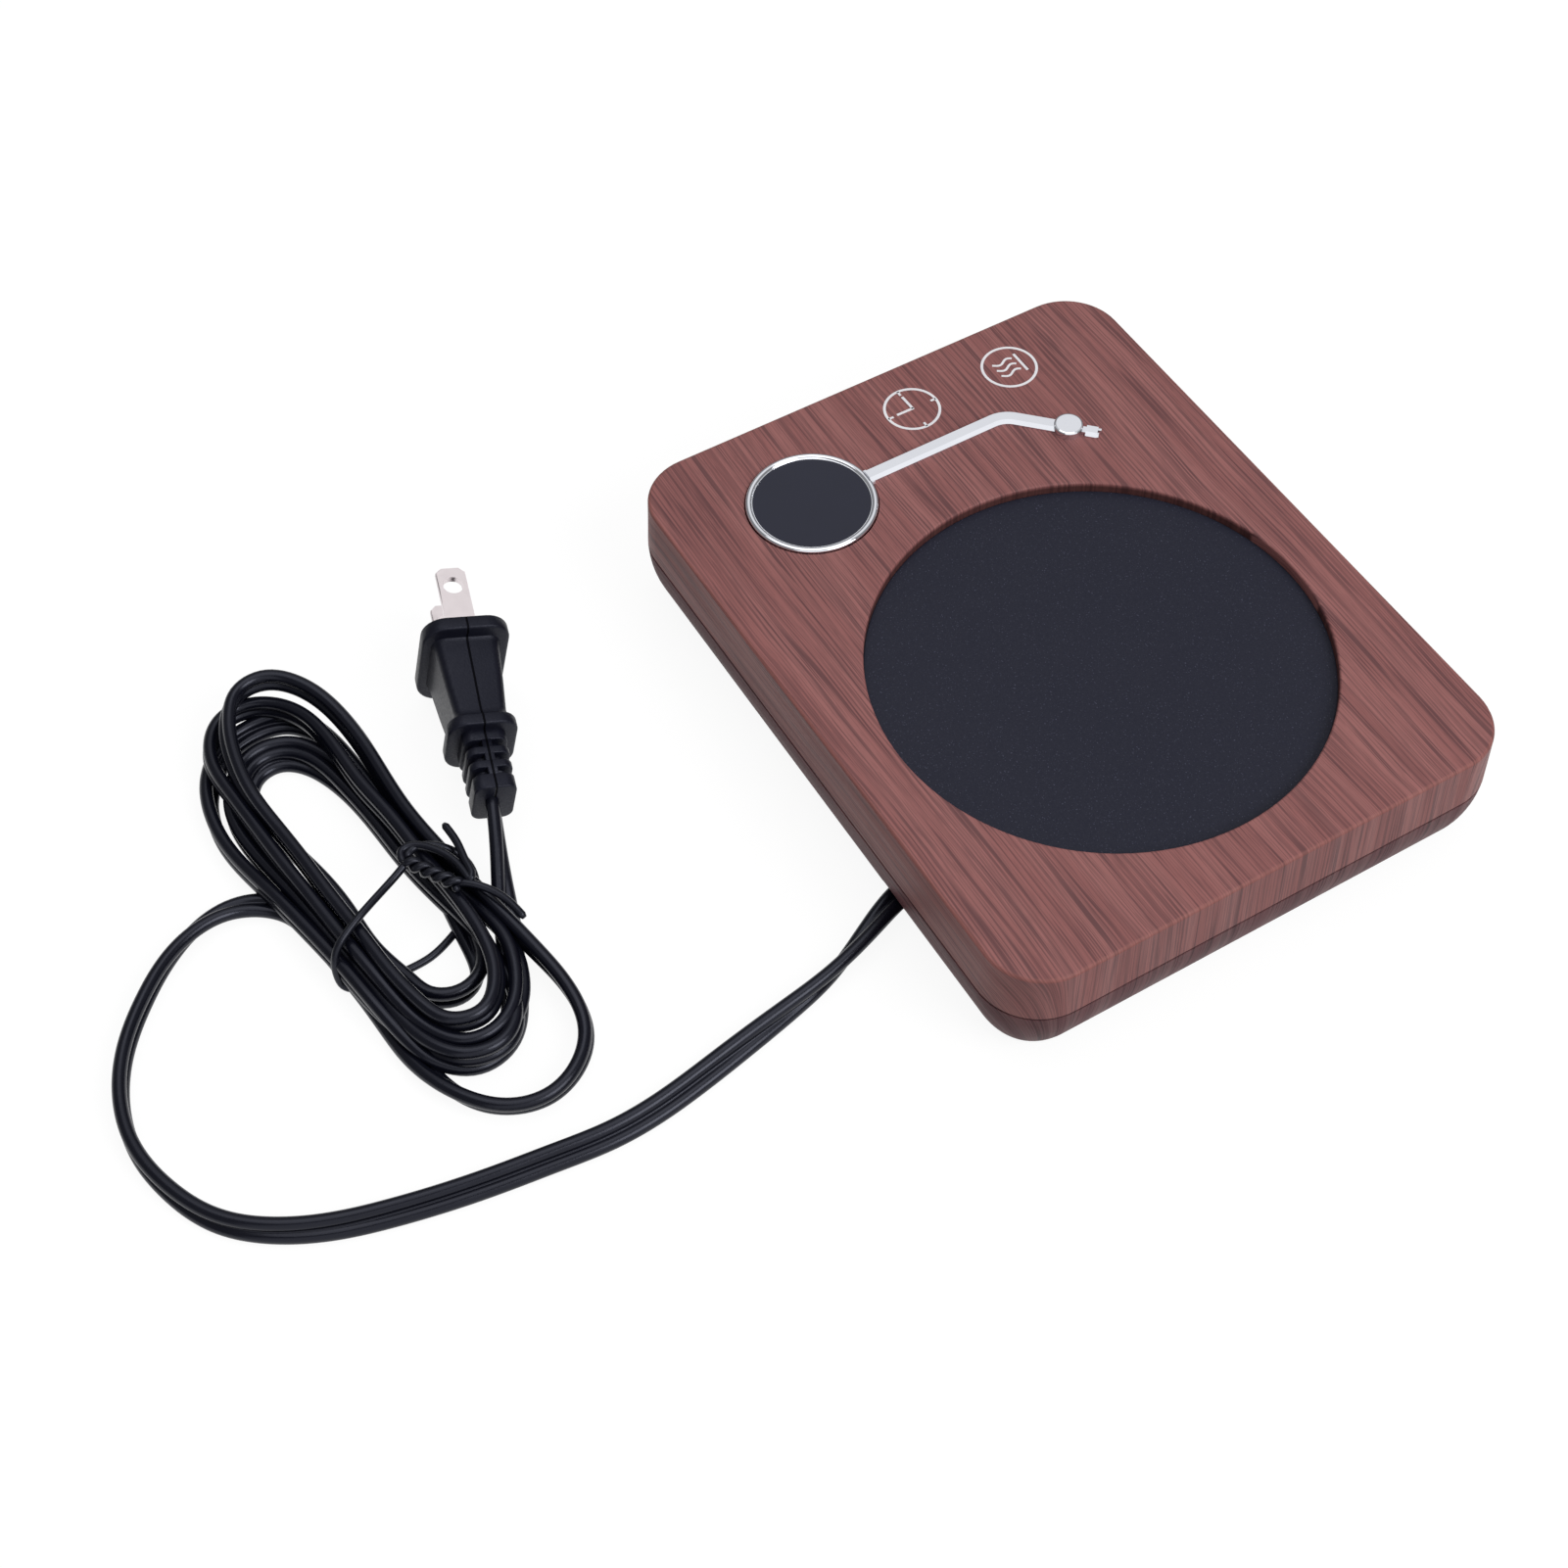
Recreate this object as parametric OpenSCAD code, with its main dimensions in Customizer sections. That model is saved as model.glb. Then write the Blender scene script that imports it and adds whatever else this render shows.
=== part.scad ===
// Electric mug warmer: a low rectangular housing with a round heating plate, and a
// bright trim in the shape of a tonearm round its display.
// The origin is the centre of the footprint, on the surface that the feet stand on.
// +X runs from the heating plate to the display, +Y to the back, where the cord leaves.

/* [Housing] */
// Length of the top face, along X
body_l = 155; // [150:1:165]
// Width of the top face, along Y
body_w = 121; // [116:1:130]
// Height of the housing above its feet
body_h = 28; // [26:0.5:32]
// Corner radius of the top face
corner_r = 13; // [11:0.5:16]
// Height of the cover's side walls, from the parting line to the top face
cover_h = 13; // [11:0.5:14]
// How far the side walls lean out between the top face and the parting line
draft = 0.6; // [0.3:0.1:1]
// How far the base shell's walls curve in, from the parting line to the bottom
base_inset = 4.2; // [3.6:0.1:5.4]
// Thickness of the side walls and of the floor
wall = 2.4; // [2:0.1:2.8]
// Thickness of the cover's top
top_t = 2.7; // [2.4:0.1:3]
// Radius of the edge round the top face
edge_r = 0.8; // [0.5:0.1:1.2]

/* [Feet] */
// Height of the feet below the housing
foot_h = 1.5; // [1:0.25:2.5]
// Diameter of a foot
foot_d = 12; // [10:0.5:13]

/* [Heating plate] */
// Diameter of the round opening over the plate
recess_d = 98; // [92:1:99]
// Centre of the plate along X
recess_x = -16.5; // [-18:0.5:-15]
// Width of the plate's edge under the cover
plate_lap = 2.5; // [2:0.25:3]
// Thickness of the plate's edge
plate_t = 1.5; // [1.2:0.1:2]
// How far the plate's face stands up into the opening
plate_step = 0.3; // [0.2:0.1:0.6]

/* [Display and trim] */
// Outside diameter of the trim's ring
ring_d = 28.9; // [26:0.1:30]
// Width of the ring's band, from the lens to its outside
ring_w = 1.25; // [1:0.05:1.6]
// Centre of the ring along X
ring_x = 51.2; // [50:0.1:53]
// Centre of the ring along Y
ring_y = 28.9; // [27:0.1:31]
// Width of the arm at its foot
arm_w = 2.5; // [2:0.1:3]
// Width of the arm's flat top
arm_top_w = 1.5; // [1.2:0.1:1.9]
// Height of the arm above the top face
arm_h = 1.35; // [1:0.05:1.6]
// Diameter of the round cap on the arm's end
cap_d = 6.5; // [5.5:0.1:7.5]
// Height of the cap above the top face
cap_h = 2; // [1.6:0.1:2.5]

/* [Mains cord] */
// Width of the flat two-core cord
cord_w = 5.7; // [5.2:0.1:6.4]
// Thickness of the cord
cord_t = 2.9; // [2.6:0.1:3.2]
// Place of the cord's outlet along the back wall
outlet_x = -31; // [-36:1:-26]
// Length of the hank of cord
hank_l = 110; // [106:1:114]
// Width of the hank
hank_w = 36; // [33:1:37]
// Height of the hank
hank_h = 11.4; // [10.6:0.1:11.8]
// Width of the gap in the middle of the hank
hank_gap = 12.5; // [11:0.5:14]

/* [Plug] */
// Width and height of the plug's front flange
flange_w = 20; // [18:0.5:22]
flange_h = 22.5; // [22:0.5:23]
// Length of the plug's body, from the front face to the end of its strain relief
plug_l = 37.5; // [36:0.5:40]
// Length of the blades in front of the flange
blade_l = 17.5; // [16:0.1:18.2]

/* [Hidden] */
$fn = 96;
eps = 0.01;
fit = 0.05;                     // clearance between pieces that fit in each other

// Levels of the housing
top_z = foot_h + body_h;        // top face
seam_z = top_z - cover_h;       // parting line
under_z = top_z - top_t;        // underside of the cover's top
floor_z = foot_h + wall;        // inside of the floor

// Corner centres of the plan, and the outside of the walls at the parting line
cx = body_l / 2 - corner_r;
cy = body_w / 2 - corner_r;
seam_d = corner_r + draft;
under_d = seam_d - base_inset;
base_h = seam_z - foot_h;
// Radius, in section, of the arc that the walls follow below the parting line
curve_r = (pow(base_h, 2) + pow(base_inset, 2)) / (2 * base_inset);
seam_notch = 0.5;               // side of the square that cuts the groove at the parting line
base_chamfer = 1.6;             // side of the square that cuts the edge round the bottom
lip_t = 1.2;                    // thickness of the base's lip inside the cover
lip_h = 2;
lip_gap = 0.15;
lip_root = 3;                   // height of the lip's root on the base's wall

// Plate and what lies under it
rim_r = 0.5;                    // rounding of the recess's edge
plate_gap = 0.2;                // clearance between the plate's face and the opening
foil_t = 0.5;
pad_t = 2.5;
bracket_t = 1;
plate_d = recess_d + 2 * plate_lap;
foil_d = plate_d - 13;
pad_d = plate_d - 11;
bracket_d = plate_d - 17;
plate_z = under_z - plate_t;
foil_z = plate_z - foil_t;
pad_z = foil_z - pad_t;
bracket_z = pad_z - bracket_t;
boss_r = 3.4;
// Distance of a bracket boss from the plate's centre, on X and on Y
bracket_boss = (plate_d / 2 + boss_r + 3.8) / sqrt(2);
sensor_at = [-12, 8];           // from the plate's centre
sensor_r = 2.3;
fuse_at = [14, -10];
fuse_r = 1.9;
fuse_z = bracket_z - fuse_r - 2 * fit;

// Trim
lens_d = ring_d - 2 * ring_w;
pocket_gap = 0.3;
pocket_deep = 1.3;
pocket_z = top_z - pocket_deep;
window_d = lens_d - 3.4;
ring_top = top_z + 0.8;
ring_bevel = 0.35;
lens_gap = 0.05;
arm_x = ring_x + 0.1;
elbow_y = ring_y - 49.6;
elbow_r = 5;
elbow_turn = 45;
arm_lap = 0.2;                  // how far the arm's straights run over the ends of its elbow
elbow_inset = 0.02;             // how far the elbow's faces lie inside the straights'
cap_at = [arm_x - 10.5, elbow_y - 10.5];
stake_r = 0.9;
stake_head_r = 1.7;
stake_head_t = 0.9;
stakes = [[arm_x, ring_y - 29], cap_at];

// Boards
control_z = 9;
control_t = 1.6;
control_top = control_z + control_t;
control_x = [38, 71];
control_y = [-40, 40];
control_posts = [for (x = [42, 67], y = [-35, 35]) [x, y]];
display_z = under_z - 5.5;
display_t = 1.2;
display_top = display_z + display_t;
display_x = [37, 72];
display_y = [-41, 44.5];
display_posts = [[39.8, 42], [68, 41], [46, -37], [69, -37.5]];
key_x = 64;
key_y = [-5, -31];              // centres of the two printed touch keys

// Screws: radius of the shank, of the pilot hole and of the clearance hole
m3 = [1.25, 1.25 + fit, 1.7];
m25 = [1.0, 1.0 + fit, 1.4];
screw_boss_r = 3.6;
housing_screws_at = [for (x = [-1, 1], y = [-1, 1]) [x * cx, y * cy]];
boss_split = 8;                 // height at which the cover's bosses meet the base's posts
sink_r = 2.9;
sink_z = foot_h + 2.5;
foot_in = 1.2;                  // depth of the feet's pockets
feet_at = [for (x = [-1, 1], y = [-1, 1]) [x * (cx - 12), y * (cy - 1.5)]];

// Outlet, clamp and cord inside the housing
outlet_z = floor_z + cord_t / 2 + fit;
outlet_w = cord_w + 1.4;
outlet_h = cord_t + 1.4;
outlet_y = body_w / 2 - 1.2;
outlet_lip = 0.6;               // width of the step round the outlet's mouth
outlet_step = -0.8;             // place of that step, from the outlet's middle
clamp_y = cy - 1.5;
clamp_span = 7;
clamp_z = floor_z + cord_t + 0.4;

// Route of the cord: x, distance behind the back wall, z, and the angle that the cord's
// width is turned from level
cord_route = [
    [outlet_x, -16.5, outlet_z, 0], [outlet_x, -7.5, outlet_z, 0],
    [outlet_x, -1.5, outlet_z, -5],
    [-33, 3.5, 4.6, -25], [-35, 9.5, 3.6, -57], [-37.5, 18.5, 3.1, -85], [-39.5, 28.5, 3, -110],
    [-41, 38.5, 2.8, -130], [-42.5, 48.5, 2.4, -147], [-44, 58.5, 2.4, -147],
    [-45, 67.5, 2.4, -147], [-44.5, 76.5, 2.4, -147], [-43.5, 84.5, 2.4, -147],
    [-42.5, 92.5, 2.4, -147], [-41.5, 100.5, 2.4, -147], [-40, 108.5, 2.4, -145],
    [-38.5, 116.5, 2.5, -140], [-37, 123.5, 2.6, -135], [-35, 130.5, 2.8, -128],
    [-32, 137.5, 2.9, -120], [-27, 144.5, 3, -112], [-20.5, 149.5, 3, -105],
    [-12.5, 153, 3.1, -98], [-3, 154, 3.1, -92], [6, 152.5, 3.1, -90], [14.5, 149, 3.1, -90],
    [23, 142.5, 3.1, -90], [31, 134, 3, -98], [36.5, 125.5, 2.7, -120], [38.4, 118, 2.2, -145],
    [36.9, 111.8, 1.7, -169], [32, 105.8, 1.5, -180]];
loop_route = [
    [-5.6, 99.2, 1.7, -174], [-11.5, 98.8, 2, -160], [-17, 97.9, 2.5, -137],
    [-22.5, 96.3, 2.9, -118], [-27.4, 93.6, 2.9, -108], [-31, 90.5, 2.9, -108],
    [-33.6, 86.9, 2.9, -108], [-35, 83.1, 2.9, -106], [-34.9, 79.1, 2.9, -104],
    [-33.6, 75, 2.9, -98], [-31.3, 71.4, 3, -94], [-28.2, 68.5, 3.2, -88],
    [-24.4, 66.4, 3.5, -84], [-20, 65.5, 4, -82], [-15.6, 65.5, 4.5, -81], [-11, 66.2, 5.1, -84],
    [-6.5, 67.2, 5.7, -88], [-1.2, 68.5, 6.3, -91], [4.1, 69.7, 6.8, -94]];
tail_route = [
    [22.7, 61.2, 4.7, 85], [17.6, 63.2, 3.7, 74], [12.7, 65.3, 2.8, 56], [8.5, 67.2, 2.3, 35],
    [5.2, 68.6, 1.9, 18], [2.2, 69.9, 1.7, 9], [-1.5, 71.5, 1.5, 2], [-5, 72.9, 1.5, 0]];

// Hank, its tie and the plug
hank_at = [31, 90];             // x and the distance behind the back wall, as for the next two
hank_turn = 6;
tie_at = [15, 90.5];
tie_turn = 30;
tie_w = 3;
tie_t = 1.4;
tie_over = 1.5;                 // how far the tie reaches past the hank's sides
braid_r = 1.8;
braid_l = 15;
plug_at = [66.8, 46.6];
plug_turn = -17.8;
plug_tilt = 8.5;
plug_z = 11.75;
flange_t = 3.5;
neck_x = -21.5;                 // back end of the plug's waist
neck_flange_t = 3;
relief_w = 10;
relief_h = 11.4;
blade_w = 6.35;
blade_t = 1.5;
blade_gap = 12.7;               // distance between the middles of the blades
blade_root = 7;

// ---- Shared shapes ----

function unit(v) = v / norm(v);
function place(row) = [row.x, row.y, row.z];
function behind(row) = [row.x, body_w / 2 + row.y, row.z, row[3]];
function heading(rows, i) =
    unit(place(rows[min(i + 1, len(rows) - 1)]) - place(rows[max(i - 1, 0)]));
function round_section(r) = [for (a = [22.5:45:359]) r * [cos(a), sin(a)]];
function cord_section() = [for (s = [1, -1], a = [-90:45:90])
    s * [(cord_w - cord_t) / 2 + cord_t / 2 * cos(a), cord_t / 2 * sin(a)]];

// A tube with the given section along a route; across is a direction square to no stretch of it
module tube(rows, section, across = [0, 0, 1]) {
    n = len(section);
    last = len(rows) - 1;
    points = [for (i = [0:last])
        let (t = heading(rows, i), side = unit(cross(t, across)), up = cross(side, t),
             turn = len(rows[i]) > 3 ? rows[i][3] : 0)
        for (s = section)
            place(rows[i]) + side * (s.x * cos(turn) - s.y * sin(turn))
                + up * (s.x * sin(turn) + s.y * cos(turn))];
    sides = [for (i = [0:last - 1], j = [0:n - 1])
        let (a = i * n + j, b = i * n + (j + 1) % n)
        each [[a, a + n, b], [b, a + n, b + n]]];
    caps = [[for (j = [0:n - 1]) j], [for (j = [n - 1:-1:0]) last * n + j]];
    polyhedron(points, concat(caps, sides), convexity = 6);
}

// Sweeps a section round the plan: its x is the distance out from the corner centres
module rim() {
    for (q = [[1, 1, 0], [-1, 1, 90], [-1, -1, 180], [1, -1, 270]])
        translate([q.x * cx, q.y * cy, 0]) rotate(q.z) rotate_extrude(angle = 90) children();
    for (turn = [0, 180]) {
        rotate(turn) translate([cx, cy, 0]) rotate([90, 0, 0])
            linear_extrude(2 * cy) children();
        rotate(turn + 90) translate([cy, cx, 0]) rotate([90, 0, 0])
            linear_extrude(2 * cx) children();
    }
}

module core(z, h) translate([-cx, -cy, z]) cube([2 * cx, 2 * cy, h]);

module rounded(size, r) {
    square([size.x - 2 * r, size.y], center = true);
    square([size.x, size.y - 2 * r], center = true);
    for (x = [-1, 1], y = [-1, 1])
        translate([x * (size.x / 2 - r), y * (size.y / 2 - r)]) circle(r);
}

module stadium(l, w) {
    square([l - w, w], center = true);
    for (x = [-1, 1]) translate([x * (l - w) / 2, 0]) circle(d = w);
}

// A box between two corners given as [low, high] on X and on Y
module slab(x, y, z, t) translate([x[0], y[0], z]) cube([x[1] - x[0], y[1] - y[0], t]);

module box_on(at, size) translate([at.x, at.y, at.z + size.z / 2]) cube(size, center = true);

module posts(places, r, z, h) for (p = places) translate([p.x, p.y, z]) cylinder(r = r, h = h);

// A pan-head screw with a cross recess, standing head down with its head's seat at z
module screw(shank_r, length, head_r, head_h, z) {
    slot = head_r * 0.32;
    difference() {
        translate([0, 0, z - head_h]) cylinder(r = head_r, h = head_h);
        for (a = [0, 90]) rotate(a)
            box_on([0, 0, z - head_h - eps], [head_r * 1.2, slot, head_h * 0.55]);
    }
    translate([0, 0, z - eps]) cylinder(r = shank_r, h = length + eps);
}

// ---- Housing ----

module cover_section() {
    flat = corner_r - edge_r;
    difference() {
        union() {
            polygon([[0, seam_z], [seam_d, seam_z], [corner_r, top_z - edge_r],
                [flat, top_z], [0, top_z]]);
            translate([flat, top_z - edge_r]) circle(edge_r);
        }
        translate([seam_d, seam_z]) rotate(45) square(seam_notch, center = true);
    }
}

module base_section(inset) intersection() {
    translate([seam_d - curve_r, seam_z]) circle(curve_r - inset);
    translate([0, foot_h + inset]) square([curve_r, base_h]);
}

module lip_section() {
    lip_d = corner_r - wall - lip_gap;
    translate([lip_d - lip_t, seam_z - lip_root]) square([lip_t, lip_root + lip_h]);
    translate([lip_d - lip_t, seam_z - lip_root]) square([lip_t + 1, lip_root]);
}

// Rounds the top edge of the recess
module recess_edge() rotate_extrude() translate([recess_d / 2, top_z - rim_r])
    difference() {
        translate([-eps, 0]) square(rim_r + eps);
        translate([rim_r, 0]) circle(rim_r);
    }

module top_cover() color("#8d5a56") difference() {
    union() {
        difference() {
            union() {
                rim() cover_section();
                core(seam_z, cover_h);
            }
            rim() translate([0, seam_z - 1]) square([corner_r - wall, cover_h - top_t + 1]);
            core(seam_z - 1, cover_h - top_t + 1);
        }
        translate([recess_x, 0, 0])
            posts([for (x = [-1, 1], y = [-1, 1]) bracket_boss * [x, y]], boss_r, pad_z,
                under_z - pad_z + eps);
        posts(housing_screws_at, screw_boss_r, boss_split, under_z - boss_split + eps);
        posts(display_posts, 2.4, display_top, under_z - display_top + eps);
    }
    translate([recess_x, 0, 0]) {
        translate([0, 0, under_z - 1]) cylinder(d = recess_d, h = top_t + 2);
        recess_edge();
        posts([for (x = [-1, 1], y = [-1, 1]) bracket_boss * [x, y]], m3[1], pad_z - eps, 4.2);
    }
    translate([ring_x, ring_y, pocket_z]) cylinder(d = ring_d + 2 * pocket_gap, h = 5);
    translate([ring_x, ring_y, under_z - 1]) cylinder(d = window_d, h = 5);
    posts(stakes, stake_r + 0.2, under_z - 1, 5);
    posts(housing_screws_at, m3[1], boss_split - eps, 11);
    posts(display_posts, m25[1], display_top - eps, 3.8);
}

// A box across the curved wall, with round ends, for the cord
module outlet(w, h, length) translate([outlet_x, outlet_y + length / 2, outlet_z])
    rotate([90, 0, 0]) linear_extrude(length) stadium(w, h);

module base_shell() color("#7f6d6d") difference() {
    union() {
        difference() {
            union() {
                rim() difference() {
                    base_section(0);
                    translate([seam_d, seam_z]) rotate(45) square(seam_notch, center = true);
                    translate([under_d, foot_h]) rotate(45) square(base_chamfer, center = true);
                }
                core(foot_h, base_h);
            }
            rim() base_section(wall);
            core(floor_z, seam_z);
        }
        rim() lip_section();
        posts(housing_screws_at, screw_boss_r + 0.6, floor_z - eps, boss_split - floor_z + eps);
        posts(feet_at, foot_d / 2 + 1.4, floor_z - eps, 1.2);
        posts(control_posts, 2.8, floor_z - eps, control_z - floor_z + eps);
        posts([for (s = [-1, 1]) [outlet_x + s * clamp_span, clamp_y]], 2.4, floor_z - eps,
            clamp_z - floor_z + eps);
    }
    posts(housing_screws_at, sink_r, foot_h - 1, sink_z - foot_h + 1);
    posts(housing_screws_at, m3[2], foot_h, boss_split);
    posts(feet_at, foot_d / 2 + fit, foot_h - 1, foot_in + 1);
    posts(control_posts, m25[1], floor_z + 1, control_z);
    posts([for (s = [-1, 1]) [outlet_x + s * clamp_span, clamp_y]], m25[1], floor_z - 1, 10);
    outlet(outlet_w, outlet_h, 12);
    translate([0, outlet_step + 6, 0])
        outlet(outlet_w + 2 * outlet_lip, outlet_h + 2 * outlet_lip, 12);
}

module rubber_feet() color("#1b1b1d") for (p = feet_at) translate([p.x, p.y, 0]) {
    translate([0, 0, 0.5]) cylinder(d = foot_d, h = foot_h + foot_in - 0.5);
    cylinder(d1 = foot_d - 1, d2 = foot_d, h = 0.5);
}

module housing_screws() color("#9a9ca0") for (p = housing_screws_at) translate([p.x, p.y, 0])
    screw(m3[0], 13, 2.7, 1.8, sink_z);

// ---- Heating plate ----

// The plate's edge lies under the cover, and its face stands up into the opening
module heating_plate() color("#2b2c33") translate([recess_x, 0, plate_z]) {
    cylinder(d = plate_d, h = plate_t);
    cylinder(d = recess_d - 2 * plate_gap, h = plate_t + plate_step);
}

module heater_foil() color("#b08d4a") translate([recess_x, 0, foil_z]) {
    cylinder(d = foil_d, h = foil_t);
    for (y = [-5, 5]) box_on([foil_d / 2 + 1, y, 0], [6, 4, foil_t]);
}

module insulation_pad() color("#d8d5cc") translate([recess_x, 0, pad_z]) difference() {
    cylinder(d = pad_d, h = pad_t);
    translate([sensor_at.x, sensor_at.y, -1]) cylinder(r = sensor_r + 0.4, h = pad_t + 2);
    for (y = [-5, 5]) box_on([pad_d / 2, y, -1], [7, 5, pad_t + 2]);
}

module plate_bracket() color("#a9abae") translate([recess_x, 0, bracket_z]) difference() {
    union() {
        cylinder(d = bracket_d, h = bracket_t);
        for (a = [45:90:315]) rotate(a) {
            translate([0, -4.5, 0]) cube([bracket_boss * sqrt(2), 9, bracket_t]);
            translate([bracket_boss * sqrt(2), 0, 0]) cylinder(r = 4.5, h = bracket_t);
        }
    }
    for (a = [45:90:315]) rotate(a)
        translate([bracket_boss * sqrt(2), 0, -1]) cylinder(r = m3[2], h = 4);
    for (a = [0:90:270]) rotate(a) translate([29, 0, -1]) cylinder(r = 8, h = 4);
    translate([sensor_at.x, sensor_at.y, -1]) cylinder(r = sensor_r + 0.4, h = 4);
}

module bracket_screws() color("#9a9ca0") translate([recess_x, 0, 0])
    for (x = [-1, 1], y = [-1, 1]) translate([x * bracket_boss, y * bracket_boss, 0])
        screw(m3[0], 4.6, 2.8, 1.9, bracket_z);

module temperature_sensor() color("#c9c9c4")
    translate([recess_x + sensor_at.x, sensor_at.y, 0]) {
        translate([0, 0, bracket_z - 3]) cylinder(r = sensor_r, h = foil_z - bracket_z + 3);
        translate([0, 0, bracket_z - 1]) cylinder(r = 4, h = 1);
    }

module thermal_fuse() color("#cfc9b8")
    translate([recess_x + fuse_at.x, fuse_at.y, fuse_z]) rotate([0, 90, 0]) {
        cylinder(r = fuse_r, h = 11, center = true);
        cylinder(r = 0.5, h = 17, center = true);
    }

// A strap over the fuse, with two feet against the bracket
module fuse_clip() color("#b8babd") {
    r = fuse_r + 0.1;
    t = 0.6;
    h = bracket_z - fuse_z;
    translate([recess_x + fuse_at.x - 2.5, fuse_at.y, fuse_z]) rotate([90, 0, 90])
        linear_extrude(5) {
            difference() {
                union() {
                    circle(r + t);
                    translate([-r - t, 0]) square([2 * (r + t), h]);
                }
                circle(r);
                translate([-r, 0]) square([2 * r, h + 1]);
                translate([-2 * r, h]) square([4 * r, 5]);
            }
            for (s = [-1, 1]) translate([s * (r + t + 2) - 2.5, h - t]) square([5, t]);
        }
}

// ---- Trim and display ----

module arm_section(inset = 0) polygon([[inset - arm_w / 2, 0], [arm_w / 2 - inset, 0],
    [arm_top_w / 2 - inset, arm_h - inset], [inset - arm_top_w / 2, arm_h - inset]]);

module tonearm_trim() color("#e8e9ec") {
    tangent = elbow_r * tan(elbow_turn / 2);
    ring_foot = ring_y - (ring_d + lens_d) / 4;
    // Ring, bevelled on both sides of its top
    translate([ring_x, ring_y, 0]) rotate_extrude() polygon([
        [lens_d / 2 + lens_gap, pocket_z], [ring_d / 2, pocket_z],
        [ring_d / 2, ring_top - ring_bevel], [ring_d / 2 - ring_bevel, ring_top],
        [lens_d / 2 + lens_gap + ring_bevel, ring_top],
        [lens_d / 2 + lens_gap, ring_top - ring_bevel]]);
    // Arm: a straight, an elbow and a second straight to the cap
    translate([arm_x, ring_foot, top_z]) rotate([90, 0, 0])
        linear_extrude(ring_foot - elbow_y - tangent + arm_lap) arm_section();
    translate([arm_x - elbow_r, elbow_y + tangent, top_z]) rotate(-elbow_turn)
        rotate_extrude(angle = elbow_turn) translate([elbow_r, 0]) arm_section(elbow_inset);
    translate([cap_at.x, cap_at.y, top_z]) rotate(-elbow_turn) {
        rotate([90, 0, 180])
            linear_extrude(norm(cap_at - [arm_x, elbow_y]) - tangent + arm_lap) arm_section();
        // Tip: a narrow neck and a block with a notched end
        difference() {
            union() {
                translate([-0.9, -cap_d / 2 - 1.2, 0]) cube([1.8, 2.4, arm_h - 0.2]);
                translate([-1.45, -cap_d / 2 - 3.7, 0]) cube([2.9, 3, arm_h + 0.2]);
            }
            translate([-0.5, -cap_d / 2 - 4, 0.5]) cube([2.5, 1.1, 2]);
        }
    }
    // Gusset where the arm meets the ring
    translate([arm_x, ring_y - ring_d / 2, top_z]) linear_extrude(arm_h / 2)
        polygon([[-2.2, 0.7], [2.2, 0.7], [0.6, -1.4], [-0.6, -1.4]]);
    // Cap with a bevelled edge
    translate([cap_at.x, cap_at.y, top_z]) {
        cylinder(d = cap_d, h = cap_h - 0.25);
        translate([0, 0, cap_h - 0.25]) cylinder(d1 = cap_d, d2 = cap_d - 0.5, h = 0.25);
    }
    // Two stakes through the cover, with flattened heads
    for (p = stakes) translate([p.x, p.y, 0]) {
        translate([0, 0, under_z - stake_head_t]) cylinder(r = stake_r, h = top_t + 1.2);
        translate([0, 0, under_z - stake_head_t]) cylinder(r = stake_head_r, h = stake_head_t);
    }
}

module display_lens() color("#23242a") translate([ring_x, ring_y, pocket_z])
    cylinder(d = lens_d, h = pocket_deep + 0.25);

module display_board() color("#1f5f3a") difference() {
    slab(display_x, display_y, display_z, display_t);
    posts(display_posts, m25[2], display_z - 1, 4);
    // Room for the housing screws' bosses
    posts(housing_screws_at, screw_boss_r + 1, display_z - 1, 4);
}

module led_display() color("#202226") {
    box_on([ring_x, ring_y, display_top], [20, 11, 3.9]);
    for (x = [-6, 0, 6]) box_on([ring_x + x, ring_y, display_top + 3.9], [4.4, 8, 0.3]);
}

// Two coil springs that carry the touch of the printed keys to the board
module touch_springs() color("#c8b27a") {
    wire_r = 0.35;
    coil_r = 3.2;
    turns = 4;
    steps = 14;
    low = display_top + wire_r;
    rise = under_z - display_top - 2 * wire_r;
    for (y = key_y) translate([key_x, y, 0])
        tube([for (i = [0:turns * steps])
            [coil_r * cos(i * 360 / steps), coil_r * sin(i * 360 / steps),
                low + rise * i / (turns * steps)]], round_section(wire_r));
}

module display_screws() color("#9a9ca0") for (p = display_posts) translate([p.x, p.y, 0])
    screw(m25[0], 4.6, 2.2, 1.5, display_z);

// ---- Control board ----

module control_board() color("#1f5f3a") difference() {
    slab(control_x, control_y, control_z, control_t);
    posts(control_posts, m25[2], control_z - 1, 4);
}

// These stand head up, so each is turned over about the board's face
module control_screws() color("#9a9ca0") for (p = control_posts)
    translate([p.x, p.y, 2 * control_top]) mirror([0, 0, 1]) {
        translate([0, 0, control_top]) screw(m25[0], 5, 2.2, 1.5, 0);
    }

module transformer() color("#3a3b3f") {
    at = [52, 12, control_top];
    box_on(at, [15, 16, 1.4]);
    box_on([at.x, at.y, at.z + 1.4], [15, 6, 9]);
    translate([at.x, at.y, at.z + 1.4]) cylinder(r = 6.4, h = 7.6);
}

module relay() color("#2f62a8") box_on([54, -10, control_top], [14, 18, 10]);

module filter_capacitor() color("#27314f")
    translate([66, 4, control_top + 4.4]) rotate([90, 0, 0]) {
        cylinder(r = 4.4, h = 14, center = true);
        translate([0, 0, 7]) cylinder(r = 3.9, h = 0.4);
    }

module film_capacitor() color("#c9a227") box_on([65, 22, control_top], [6, 13, 9.5]);

module board_fuse() color("#3d3228")
    translate([55, 33, control_top + 2.6]) rotate([0, 90, 0])
        cylinder(r = 2.6, h = 10, center = true);

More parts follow.
